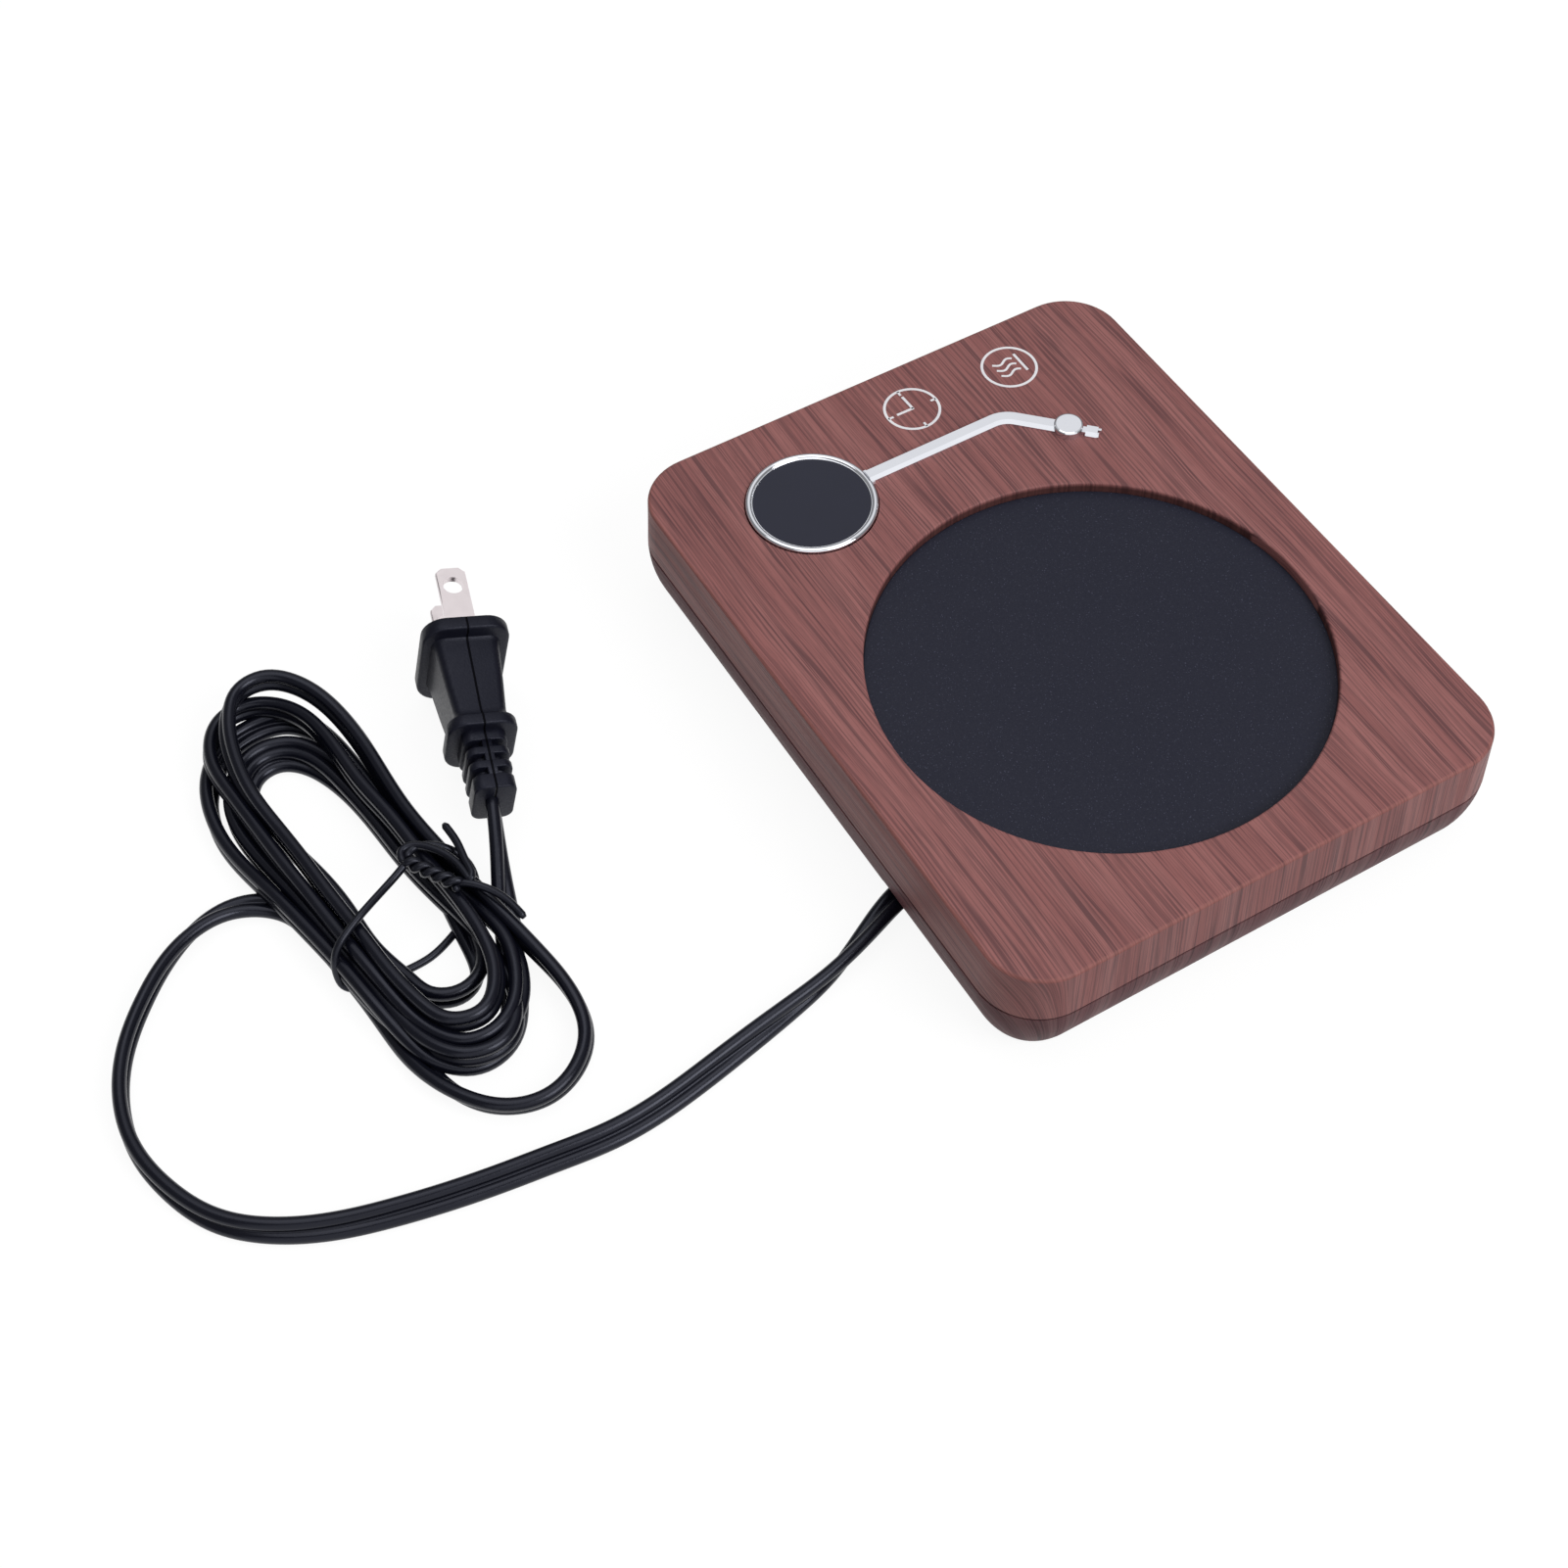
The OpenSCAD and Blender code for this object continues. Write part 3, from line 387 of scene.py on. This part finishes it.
def ring_form():
    """The ring's profile: its outer foot, the rounded rim and the seat of the lens."""
    r, reach, rise, high = RIM
    rim = [
        (r + reach * math.cos(a), TOP_Z + rise + high * math.sin(a))
        for a in np.radians(np.linspace(-8, 165, 15))
    ]
    return [(14.48, 28.6), *rim, (13.0, 30.0), (12.9, 29.78), (12.9, 29.76)]


CAP_FORM = [
    (CAP_R, TOP_Z - 0.02), (CAP_R, 31.12), (3.08, 31.36), (2.8, 31.45), (0.01, 31.48),
]
STAKE_FORM = [
    (0.9, TOP_Z), (0.9, STAKE_NECK), (1.7, STAKE_NECK), (1.7, STAKE_LOW),
    (0.01, STAKE_LOW),
]
trim = joined(
    "tonearm_trim_polished",
    [
        lathe(RING_AT, ring_form(), crisp=False),
        bar(arm_path(), ARM_FORM),
        bar([(ARM_X, 15.2), (ARM_X, 13.9)], ROOT_FORM),
        bar([(ARM_X, 13.9), (ARM_X, 12.9)], COLLAR_FORM),
        lathe(CAP_AT, CAP_FORM),
        bar(on_tip(2.6, 4.2), NECK_FORM),
        bar(on_tip(4.0, 6.6), BLOCK_FORM),
        bar(on_tip(6.5, 7.3), PRONG_FORM),
        bar(on_tip(6.5, 6.95), OTHER_PRONG_FORM),
        lathe((ARM_X, RING_AT[1] - 29), STAKE_FORM, count=32),
        lathe(CAP_AT, STAKE_FORM, count=32),
    ],
)

# ---- Plug, in its own frame: +X toward the blades' tips ----

PLUG_AT = (66.5, 108.4, 13.3)
PLUG_TURN = -16.5
PLUG_TILT = 2.9
PLUG_ROLL = 11.5  # it leans over on one corner of its flanges
CORNER_POINTS = 9


def plug_place(verts):
    """Points of the plug's frame in the frame of the whole."""
    turn = (
        Matrix.Rotation(math.radians(PLUG_TURN), 3, "Z")
        @ Matrix.Rotation(math.radians(-PLUG_TILT), 3, "Y")
        @ Matrix.Rotation(math.radians(PLUG_ROLL), 3, "X")
    )
    return np.asarray(verts) @ np.array(turn).T + np.array(PLUG_AT)


def rounded_outline(w, h, r):
    """Points round a rectangle with rounded corners, anticlockwise in (y, z)."""
    out = []
    for i, (sy, sz) in enumerate(((1, 1), (-1, 1), (-1, -1), (1, -1))):
        for a in np.radians(np.linspace(90 * i, 90 * i + 90, CORNER_POINTS)):
            y = sy * (w / 2 - r) + r * math.cos(a)
            out.append((y, sz * (h / 2 - r) + r * math.sin(a)))
    return np.array(out)


def loft(rows, rise=0.0):
    """A closed smooth skin through rounded rectangles: x, width, height, radius."""
    n = 4 * CORNER_POINTS
    rings = [
        np.column_stack([np.full(n, x), rounded_outline(w, h, r) + (0, rise)])
        for x, w, h, r in rows
    ]
    faces = [face[::-1] for face in capped(len(rings), n)]
    return plug_place(np.concatenate(rings)), faces


# A softened edge: how far in, and what the sides and the corners' radius lose there
SOFT_EDGE = [(0, 2.4, 1), (0.12, 1.4, 0.6), (0.4, 0.4, 0), (1, 0, 0)]


def slab(front, back, w, h, r, soft=0.55):
    """A plate across the plug with softened edges."""
    rows = [(front - soft * d, soft * t, soft * c) for d, t, c in SOFT_EDGE]
    rows += [(back + soft * d, soft * t, soft * c) for d, t, c in SOFT_EDGE[::-1]]
    return loft([(x, w - less, h - less, r - off) for x, less, off in rows])


FLANGE_X = -0.2
NECK_X = -22.5
RELIEF_END = -40.4
SLOTS = (-29.0, -32.5, -36.0)  # middles of the three rows
SLOT = 1.6
SPINE_RISE = 4.7

waist = [
    (FLANGE_X - 2.6, 15.8, 19.6, 3.4), (FLANGE_X - 3.4, 14.9, 18.0, 2.9),
    (FLANGE_X - 4.2, 14.2, 17.2, 2.4), (FLANGE_X - 5.4, 13.8, 16.8, 2.1),
    (-14.0, 12.5, 15.3, 1.9), (NECK_X + 1.6, 11.2, 13.8, 1.8),
    (NECK_X + 0.7, 11.4, 14.0, 2.0), (NECK_X + 0.1, 12.4, 14.5, 2.6),
    (NECK_X - 0.6, 13.2, 15.0, 3.0),
]
relief = [loft([(NECK_X, 6.8, 8.2, 1.6), (RELIEF_END + 2, 6.4, 7.8, 1.6)])]
sides = [s + d for s in SLOTS for d in (SLOT / 2, -SLOT / 2)]
edges = [NECK_X - 2.4, *sides, RELIEF_END]
for front, back in zip(edges[::2], edges[1::2]):
    relief.append(slab(front, back, 9.5 + 0.05 * (front + 25), 11.5, 2.2, 0.32))
for rise in (-SPINE_RISE, SPINE_RISE):
    # The spine that runs along the middle of the relief, above and below
    spine = [(NECK_X - 2, 2.1, 2.0, 0.2), (RELIEF_END + 1, 2.1, 2.0, 0.2)]
    relief.append(loft(spine, rise))
plug = joined(
    "plug_moulding",
    [
        slab(FLANGE_X, FLANGE_X - 3.3, 18.8, 24.6, 5),
        loft(waist),
        slab(NECK_X, NECK_X - 3.0, 14.9, 15.7, 4),
        *relief,
    ],
)

BLADE_OFF = 6.35  # of each blade's middle from the plug's
BLADE_ROOT = -2.0
BLADE_TIP = 17.5
BLADE_HALF = 3.25
BLADE_T = 1.5
BLADE_CHAMFER = 1.3
BLADE_BEVEL = 0.22
HOLE_X, HOLE_R = 12.5, 2.25


def blade(z):
    """A flat blade with a chamfered tip and a round hole, at height z."""
    shoulder, edge = BLADE_TIP - BLADE_CHAMFER, BLADE_HALF - BLADE_CHAMFER
    corners = [
        (BLADE_ROOT, -BLADE_HALF), (shoulder, -BLADE_HALF), (BLADE_TIP, -edge),
        (BLADE_TIP, edge), (shoulder, BLADE_HALF), (BLADE_ROOT, BLADE_HALF),
    ]
    outline = []
    for a, b in zip(corners, corners[1:] + corners[:1]):
        outline += [np.array(a) + (np.array(b) - a) * s for s in np.arange(0, 1, 0.125)]
    outline = np.array(outline)
    spoke = unit(outline - (HOLE_X, 0))
    hole = (HOLE_X, 0) + HOLE_R * spoke
    inset = outline - BLADE_BEVEL * spoke
    low, high = z - BLADE_T / 2, z + BLADE_T / 2
    levels = [
        (hole, high), (inset, high), (outline, high - BLADE_BEVEL),
        (outline, low + BLADE_BEVEL), (inset, low), (hole, low), (hole, high),
    ]
    verts, faces = banded([
        np.column_stack([line, np.full(len(line), level)]) for line, level in levels
    ])
    return plug_place(verts), faces


blades = joined("nickel_blades", [blade(BLADE_OFF), blade(-BLADE_OFF)])

# ---- Touch keys printed on the cover ----

PRINT_T = 0.06
PRINT_SUNK = 0.02
STROKE = 0.62
THIN = 0.55
CLOCK = (64.1, -5.0)
HEAT = (63.9, -30.9)
KEY_R = 6.2
TICK = 1.3


def stroke(points, width=STROKE, closed=False):
    """A thin flat ribbon along a line on the top face."""
    p = np.asarray(points, float)
    t = np.roll(p, -1, 0) - np.roll(p, 1, 0) if closed else np.gradient(p, axis=0)
    t = unit(t)
    n = np.stack([-t[:, 1], t[:, 0]], 1) * width / 2
    verts = [
        (x, y, z)
        for z in (TOP_Z - PRINT_SUNK, TOP_Z + PRINT_T)
        for side in (p + n, p - n)
        for x, y in side
    ]
    count = len(p)
    high = 2 * count  # the first point of the upper side
    faces = []
    for i in range(count if closed else count - 1):
        j = (i + 1) % count
        faces += [
            (high + i, high + count + i, high + count + j, high + j),
            (i, high + i, high + j, j),
            (count + j, high + count + j, high + count + i, count + i),
        ]
    if not closed:
        faces += [(i, count + i, high + count + i, high + i) for i in (0, count - 1)]
    return np.array(verts), faces


def circle(centre):
    """The round outline of a key."""
    x, y = centre
    turn = np.linspace(0, 2 * math.pi, 96, endpoint=False)
    return [(x + KEY_R * math.cos(a), y + KEY_R * math.sin(a)) for a in turn]


clock_parts = [stroke(circle(CLOCK), closed=True)]
for a in np.radians((0, 90, 180, 270)):
    d = np.array((math.cos(a), math.sin(a)))
    clock_parts.append(stroke([CLOCK + d * (KEY_R - TICK), CLOCK + d * KEY_R], THIN))
clock_parts.append(stroke([(68.4, -5.05), (64.1, -5.2)]))
clock_parts.append(stroke([(64.15, -5.45), (64.2, -1.1)]))
clock = joined("clock_key_print", clock_parts, smooth=False)

heat_parts = [stroke(circle(HEAT), closed=True), stroke([(61.0, -34.0), (66.9, -34.0)])]
for x in (62.1, 64.0, 65.9):
    wave = [
        (x + 0.5 * math.sin(s * 2.2 * math.pi), -32.9 + s * 5.1)
        for s in np.linspace(0, 1, 22)
    ]
    heat_parts.append(stroke(wave, THIN))
heat = joined("heat_key_print", heat_parts, smooth=False)

# ---- Materials ----

COOL = (0.8, 0.83, 1.0, 1.0)  # the blacks of the photograph lean to blue


class Nodes:
    """A node tree and short ways to add to it."""

    def __init__(self, tree):
        self.tree = tree

    def feed(self, socket, value):
        if isinstance(value, bpy.types.NodeSocket):
            self.tree.links.new(value, socket)
        else:
            socket.default_value = value

    def node(self, kind, inputs=None, **props):
        made = self.tree.nodes.new(kind)
        for key, value in props.items():
            setattr(made, key, value)
        for key, value in (inputs or {}).items():
            self.feed(made.inputs[key], value)
        return made

    def math(self, operation, a, b=0.0, c=None):
        values = {0: a, 1: b}
        if c is not None:
            values[2] = c
        return self.node("ShaderNodeMath", values, operation=operation).outputs[0]

    def dot(self, a, b):
        made = self.node("ShaderNodeVectorMath", {0: a, 1: b}, operation="DOT_PRODUCT")
        return made.outputs["Value"]

    def span(self, value, low, high, to_low=0.0, to_high=1.0):
        values = {0: value, 1: low, 2: high, 3: to_low, 4: to_high}
        made = self.node("ShaderNodeMapRange", values, interpolation_type="SMOOTHSTEP")
        return made.outputs[0]


class Paint(Nodes):
    """A material's nodes, on one Principled shader."""

    def __init__(self, name):
        self.material = bpy.data.materials.new(name)
        self.material.use_nodes = True
        super().__init__(self.material.node_tree)
        self.shader = self.tree.nodes["Principled BSDF"]
        self.place = self.node("ShaderNodeTexCoord").outputs["Object"]

    def vector(self, x, y, z=0.0):
        return self.node("ShaderNodeCombineXYZ", {0: x, 1: y, 2: z}).outputs[0]

    def noise(self, place, scale, detail=2.0, rough=0.5):
        values = {"Vector": place, "Scale": scale, "Detail": detail, "Roughness": rough}
        return self.node("ShaderNodeTexNoise", values).outputs["Fac"]

    def mix(self, amount, a, b):
        made = self.node("ShaderNodeMix", {0: amount}, data_type="RGBA")
        self.feed(made.inputs[6], a)
        self.feed(made.inputs[7], b)
        return made.outputs[2]

    def bump(self, height, distance, strength=1.0):
        values = {"Height": height, "Distance": distance * MM, "Strength": strength}
        normal = self.node("ShaderNodeBump", values).outputs[0]
        self.tree.links.new(normal, self.shader.inputs["Normal"])

    def set(self, **values):
        for key, value in values.items():
            self.feed(self.shader.inputs[key.replace("_", " ")], value)
        return self.material


def colour(text):
    """The linear colour of a hexadecimal screen colour."""
    out = []
    for i in (0, 2, 4):
        c = int(text[i : i + 2], 16) / 255
        out.append(c / 12.92 if c <= 0.04045 else ((c + 0.055) / 1.055) ** 2.4)
    return (*out, 1.0)


def moulded(name, base, other, rough=0.5, grain=0.35, depth=0.02):
    """Plastic or rubber with a fine even texture and a slow change of tone."""
    p = Paint(name)
    tone = p.noise(p.place, 60, 3)
    fine = p.noise(p.place, 1000 / grain, 2)
    p.bump(fine, depth)
    return p.set(
        Base_Color=p.mix(p.span(tone, 0.35, 0.65), colour(base), colour(other)),
        Roughness=p.span(fine, 0.3, 0.7, rough - 0.05, rough + 0.05),
    )


def plug_vinyl(name, base, other):
    """The plug's matt vinyl, with the line where the halves of its mould met."""
    p = Paint(name)
    start, beside = plug_place([(0, 0, 0), (0, 1, 0)])
    side = beside - start
    off = p.math("SUBTRACT", p.dot(p.place, side), float(np.dot(start, side)) * MM)
    line = p.span(p.math("ABSOLUTE", off), 0.13 * MM, 0.26 * MM, 1, 0)
    tone = p.noise(p.place, 60, 3)
    fine = p.noise(p.place, 2200, 2)
    p.bump(p.math("MULTIPLY_ADD", line, -3.0, fine), 0.06)
    body = p.mix(p.span(tone, 0.35, 0.65), colour(base), colour(other))
    return p.set(
        Base_Color=p.mix(line, body, colour("050508")),
        Roughness=p.span(fine, 0.3, 0.7, 0.36, 0.46),
        Specular_IOR_Level=p.span(line, 0, 1, 0.25, 0.05),
        Specular_Tint=COOL,
    )


CX, CY = 64.5, 47.5  # centres of the housing's corners
SEAM_Z = 16.5


def wood_film(name, light, mid, dark, spec=0.25):
    """Printed wood film: its grain runs along X and turns down over the edges."""
    p = Paint(name)
    xyz = p.node("ShaderNodeSeparateXYZ", {0: p.place}).outputs
    x, y, z = (p.math("MULTIPLY", xyz[i], 1 / MM) for i in range(3))

    def past(value, limit):
        held = p.node("ShaderNodeClamp", {0: value, 1: -limit, 2: limit}).outputs[0]
        return p.math("SUBTRACT", value, held)

    qx, qy = past(x, CX), past(y, CY)
    squares = (p.math("MULTIPLY", q, q) for q in (qx, qy))
    reach = p.math("SQRT", p.math("ADD", *squares))
    safe = p.math("MAXIMUM", reach, 0.01)
    drop = p.math("SUBTRACT", TOP_Z, z)
    u = p.math("ADD", x, p.math("MULTIPLY", p.math("DIVIDE", qx, safe), drop))
    v = p.math("ADD", y, p.math("MULTIPLY", p.math("DIVIDE", qy, safe), drop))

    def field(across, length, width, seed, detail=0.0):
        """Noise stretched along the grain, of this length and width in mm."""
        along = p.math("MULTIPLY", u, 1 / length)
        where = p.vector(along, p.math("MULTIPLY", across, 1 / width), seed)
        return p.noise(where, 1.0, detail)

    # The lines of the grain wander slowly across the film
    sway = p.math("SUBTRACT", field(v, 120, 45, 3.1, 1), 0.5)
    ripple = p.math("SUBTRACT", field(v, 26, 9, 7.7, 1), 0.5)
    wander = p.math("ADD", p.math("MULTIPLY", sway, 7), p.math("MULTIPLY", ripple, 0.8))
    w = p.math("ADD", v, wander)
    bands = p.span(field(w, 70, 3.8, 11.3, 1), 0.32, 0.68)
    cluster = p.span(field(w, 26, 2.4, 5.9, 1), 0.42, 0.66)
    streaks = p.span(field(w, 40, 0.42, 1.7), 0.5, 0.61)
    threads = p.span(field(w, 30, 0.27, 9.2), 0.51, 0.64)
    pores = p.span(field(w, 5, 0.22, 4.4), 0.58, 0.7)
    # Painted highlight: a little brighter over the rounded edge
    off_flat = p.span(reach, 12.15, 12.6)
    painted_edge_highlight = p.math("MULTIPLY", off_flat, p.span(drop, 0.45, 0.9, 1, 0))
    # Dark in the parting groove
    off_seam = p.math("ABSOLUTE", p.math("SUBTRACT", z, SEAM_Z))
    at_seam = p.span(off_seam, 0.16, 0.3, 1, 0)
    groove = p.math("MULTIPLY", at_seam, p.span(reach, 12.9, 13.1))
    # Painted shade deep down the side of the plate's recess
    over_flat = p.span(reach, 0.02, 0.2, 1, 0)
    recess_painted_shade = p.math("MULTIPLY", over_flat, p.span(drop, 0.5, 1.2))

    tone = colour(light)
    for amount, share, shade in (
        (bands, 0.7, mid),
        (cluster, 0.12, dark),
        (streaks, p.math("MULTIPLY_ADD", cluster, 0.32, 0.4), dark),
        (threads, 0.3, dark),
        (pores, 0.24, dark),
        # painted highlight over the rounded edge
        (painted_edge_highlight, 0.3, "985d53"),
        (groove, 0.75, "2a1f20"),
        # painted shade down the side of the recess
        (recess_painted_shade, 0.7, "331b19"),
    ):
        tone = p.mix(p.math("MULTIPLY", amount, share), tone, colour(shade))
    p.bump(p.math("ADD", streaks, threads), 0.02, 0.5)
    return p.set(
        Base_Color=tone,
        Roughness=p.span(bands, 0, 1, 0.48, 0.56),
        Specular_IOR_Level=spec,
    )


def plate_coating():
    """Matt black coating with a fine light speckle."""
    p = Paint("plate_coating")
    grit = p.noise(p.place, 2600, 2, 0.6)
    specks = p.span(p.noise(p.place, 3200, 1), 0.66, 0.76)
    slow = p.noise(p.place, 22, 2)
    base = p.mix(slow, colour("1a1c2c"), colour("20212f"))
    p.bump(grit, 0.05, 0.8)
    return p.set(
        Base_Color=p.mix(p.math("MULTIPLY", specks, 0.3), base, colour("70738c")),
        Roughness=p.span(grit, 0.3, 0.7, 0.52, 0.66),
        Specular_IOR_Level=0.25,
    )


def chrome():
    """Bright plating with faint smears."""
    p = Paint("trim_chrome")
    smear = p.noise(p.place, 120, 3)
    return p.set(
        Base_Color=p.mix(smear, colour("eef0f6"), colour("e6e8f0")),
        Metallic=1.0,
        Roughness=p.span(smear, 0.3, 0.7, 0.04, 0.09),
    )


def lens_black():
    """Glossy smoked plastic over the dark display."""
    p = Paint("smoked_lens")
    haze = p.noise(p.place, 150, 3)
    return p.set(
        Base_Color=p.mix(haze, colour("171a2c"), colour("1a1c30")),
        Roughness=p.span(haze, 0.3, 0.7, 0.05, 0.09),
        Specular_IOR_Level=0.35,
    )


def cord_pvc(name, base, other, rough):
    """Smooth soft plastic of a cord."""
    p = Paint(name)
    slow = p.noise(p.place, 90, 3)
    fine = p.noise(p.place, 900, 2)
    p.bump(fine, 0.02, 0.35)
    return p.set(
        Base_Color=p.mix(slow, colour(base), colour(other)),
        Roughness=p.span(slow, 0.35, 0.65, rough - 0.03, rough + 0.04),
        Specular_IOR_Level=0.36,
        Specular_Tint=COOL,
    )


def brushed(name, base, other, rough):
    """Plain metal of uneven gloss."""
    p = Paint(name)
    lines = p.noise(p.place, 350, 4)
    p.bump(lines, 0.01, 0.3)
    return p.set(
        Base_Color=p.mix(lines, colour(base), colour(other)),
        Metallic=1.0,
        Roughness=p.span(lines, 0.3, 0.7, rough - 0.06, rough + 0.06),
    )


finishes = {
    "wood_film": wood_film("wood_film", "9c6764", "8e5a58", "58393c"),
    "base_plastic": wood_film("base_wood_film", "785153", "684247", "3d272b", 0.1),
    "plate_coating": plate_coating(),
    "heater_film": moulded("heater_film", "b08d4a", "a27f3e", 0.35),
    "fibre_felt": moulded("fibre_felt", "d8d5cc", "c9c5ba", 0.9, 0.8, 0.2),
    "bracket_steel": brushed("bracket_steel", "b4b6b9", "9fa1a4", 0.35),
    "screw_steel": brushed("screw_steel", "a5a7ab", "8f9195", 0.3),
    "sensor_ceramic": moulded("sensor_ceramic", "c9c9c4", "bdbdb7", 0.5),
    "fuse_ceramic": moulded("fuse_ceramic", "cfc9b8", "c2bba8", 0.45),
    "trim_chrome": chrome(),
    "smoked_lens": lens_black(),
    "circuit_board": moulded("circuit_board", "1f5f3a", "1a5233", 0.4, 1.2, 0.03),
    "dark_plastic": moulded("dark_plastic", "202124", "28292d", 0.5),
    "spring_brass": brushed("spring_brass", "c8b27a", "b39c62", 0.3),
    "transformer_core": moulded("transformer_core", "3a3b3f", "303135", 0.6, 0.6, 0.06),
    "relay_case": moulded("relay_case", "2f62a8", "2a5997", 0.4),
    "capacitor_can": moulded("capacitor_can", "27314f", "222b46", 0.35),
    "film_capacitor_case": moulded("film_capacitor_case", "c9a227", "bb951f", 0.4),
    "ivory_plastic": moulded("ivory_plastic", "e3e0d6", "d6d2c5", 0.5),
    "silicone_sleeve": moulded("silicone_sleeve", "d9d4c8", "cdc7b8", 0.6),
    "blue_lead": moulded("blue_lead", "3f6fb5", "3664a6", 0.45),
    "black_lead": moulded("black_lead", "2b2b2e", "232326", 0.45),
    "foot_rubber": moulded("foot_rubber", "1b1b1d", "222225", 0.75, 0.5, 0.05),
    "cord_pvc": cord_pvc("cord_pvc", "0a0b14", "0e0f19", 0.25),
    "tie_plastic": cord_pvc("tie_plastic", "0c0d14", "10111a", 0.3),
    "plug_pvc": plug_vinyl("plug_pvc", "0f101b", "13141f"),
    "blade_nickel": brushed("blade_nickel", "ece3e5", "e4dbdd", 0.36),
}
white_print = moulded("white_print", "f2f1f4", "e8e7ec", 0.5, 0.2, 0.005)

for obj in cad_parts.values():
    for holder in obj.material_slots:
        name = holder.material.name.split(".")[0]
        holder.material = finishes.get(name, holder.material)


def finish(obj, material, stands_for=()):
    """Gives a drawn piece its material, slot and body, and hides the nodes that it
    stands for.
    """
    obj.data.materials.clear()
    obj.data.materials.append(material)
    if stands_for:
        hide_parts(*stands_for)
    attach(obj, "root")


for obj, slot_name, stands_for in (
    (cord, "cord_pvc", ("mains_cord", "cord_loop", "cord_tail", "cord_hank")),
    (tie, "tie_plastic", ("cord_tie",)),
    (trim, "trim_chrome", ("tonearm_trim",)),
    (plug, "plug_pvc", ("plug_body",)),
    (blades, "blade_nickel", ("plug_blades",)),
):
    finish(obj, finishes[slot_name], stands_for)
finish(clock, white_print)
finish(heat, white_print)

# ---- Floor, world and lights ----

FLOOR_HALF = 3.0
FLOOR_SEEN = 0.9  # the floor's colour for the camera and for reflections
FLOOR_THROWN = 0.3  # its colour for the light that it throws back at the object
WHITE_SHARE = 0.86  # how much of the floor that is seen is plain white
WHITE_GLOW = 1.06
ROOM_LIGHT = 0.34
ROOM_DARK = 0.24  # the room in a reflection, away from the panels
# Panels in reflections: direction, start and full by its cosine, and brightness
PANELS = (
    ((0.42, -0.36, 0.83), 0.84, 0.96, 0.84),  # above the far side of the table
    ((-0.95, 0.22, 0.22), 0.68, 0.8, 1.0),  # a bright side
)

corners = [
    (x * FLOOR_HALF, y * FLOOR_HALF, 0)
    for x, y in ((-1, -1), (1, -1), (1, 1), (-1, 1))
]
floor = new_object("floor", corners, [(0, 1, 2, 3)], smooth=False)
paper = bpy.data.materials.new("floor_paper")
paper.use_nodes = True
paper.node_tree.nodes.clear()
n = Nodes(paper.node_tree)
glow = n.node("ShaderNodeEmission", {"Strength": WHITE_GLOW})
thrown, matt = (
    n.node("ShaderNodeBsdfDiffuse", {"Color": (grey, grey, grey, 1)})
    for grey in (FLOOR_THROWN, FLOOR_SEEN)
)
whitened = n.node(
    "ShaderNodeMixShader", {0: WHITE_SHARE, 1: matt.outputs[0], 2: glow.outputs[0]}
)
rays = n.node("ShaderNodeLightPath").outputs
seen = n.math("MAXIMUM", rays["Is Camera Ray"], rays["Is Glossy Ray"])
chosen = n.node(
    "ShaderNodeMixShader", {0: seen, 1: thrown.outputs[0], 2: whitened.outputs[0]}
)
n.node("ShaderNodeOutputMaterial", {"Surface": chosen.outputs[0]})
floor.data.materials.append(paper)

world = bpy.data.worlds.new("studio")
bpy.context.scene.world = world
world.use_nodes = True
n = Nodes(world.node_tree)
rays = n.node("ShaderNodeLightPath").outputs
heading = n.node("ShaderNodeTexCoord").outputs["Generated"]
panels = [
    n.span(n.dot(heading, toward), start, full, ROOM_DARK, peak)
    for toward, start, full, peak in PANELS
]
level = ROOM_LIGHT
for ray, brighter in (
    ("Is Glossy Ray", n.math("MAXIMUM", *panels)), ("Is Camera Ray", 1.0),
):
    inputs = {"Value": rays[ray], "To Min": level, "To Max": brighter}
    level = n.node("ShaderNodeMapRange", inputs).outputs[0]
back = n.tree.nodes["Background"]
n.feed(back.inputs["Color"], (1, 1, 1, 1))
n.feed(back.inputs["Strength"], level)


def lamp(name, place, target, size, power):
    """A square area lamp that is aimed at a target."""
    data = bpy.data.lights.new(name, "AREA")
    data.shape = "SQUARE"
    data.size = size
    data.energy = power
    obj = bpy.data.objects.new(name, data)
    obj.location = place
    aim = Vector(target) - Vector(place)
    obj.rotation_euler = aim.to_track_quat("-Z", "Y").to_euler()
    bpy.context.scene.collection.objects.link(obj)


LAMPS_AIM = (0, 0.05, 0)
lamp("key_light", (-1.1, -0.45, 1.1), LAMPS_AIM, 0.9, 13)
lamp("top_light", (0.1, 0.05, 1.6), LAMPS_AIM, 1.4, 8)

bpy.context.scene.view_settings.view_transform = "Standard"
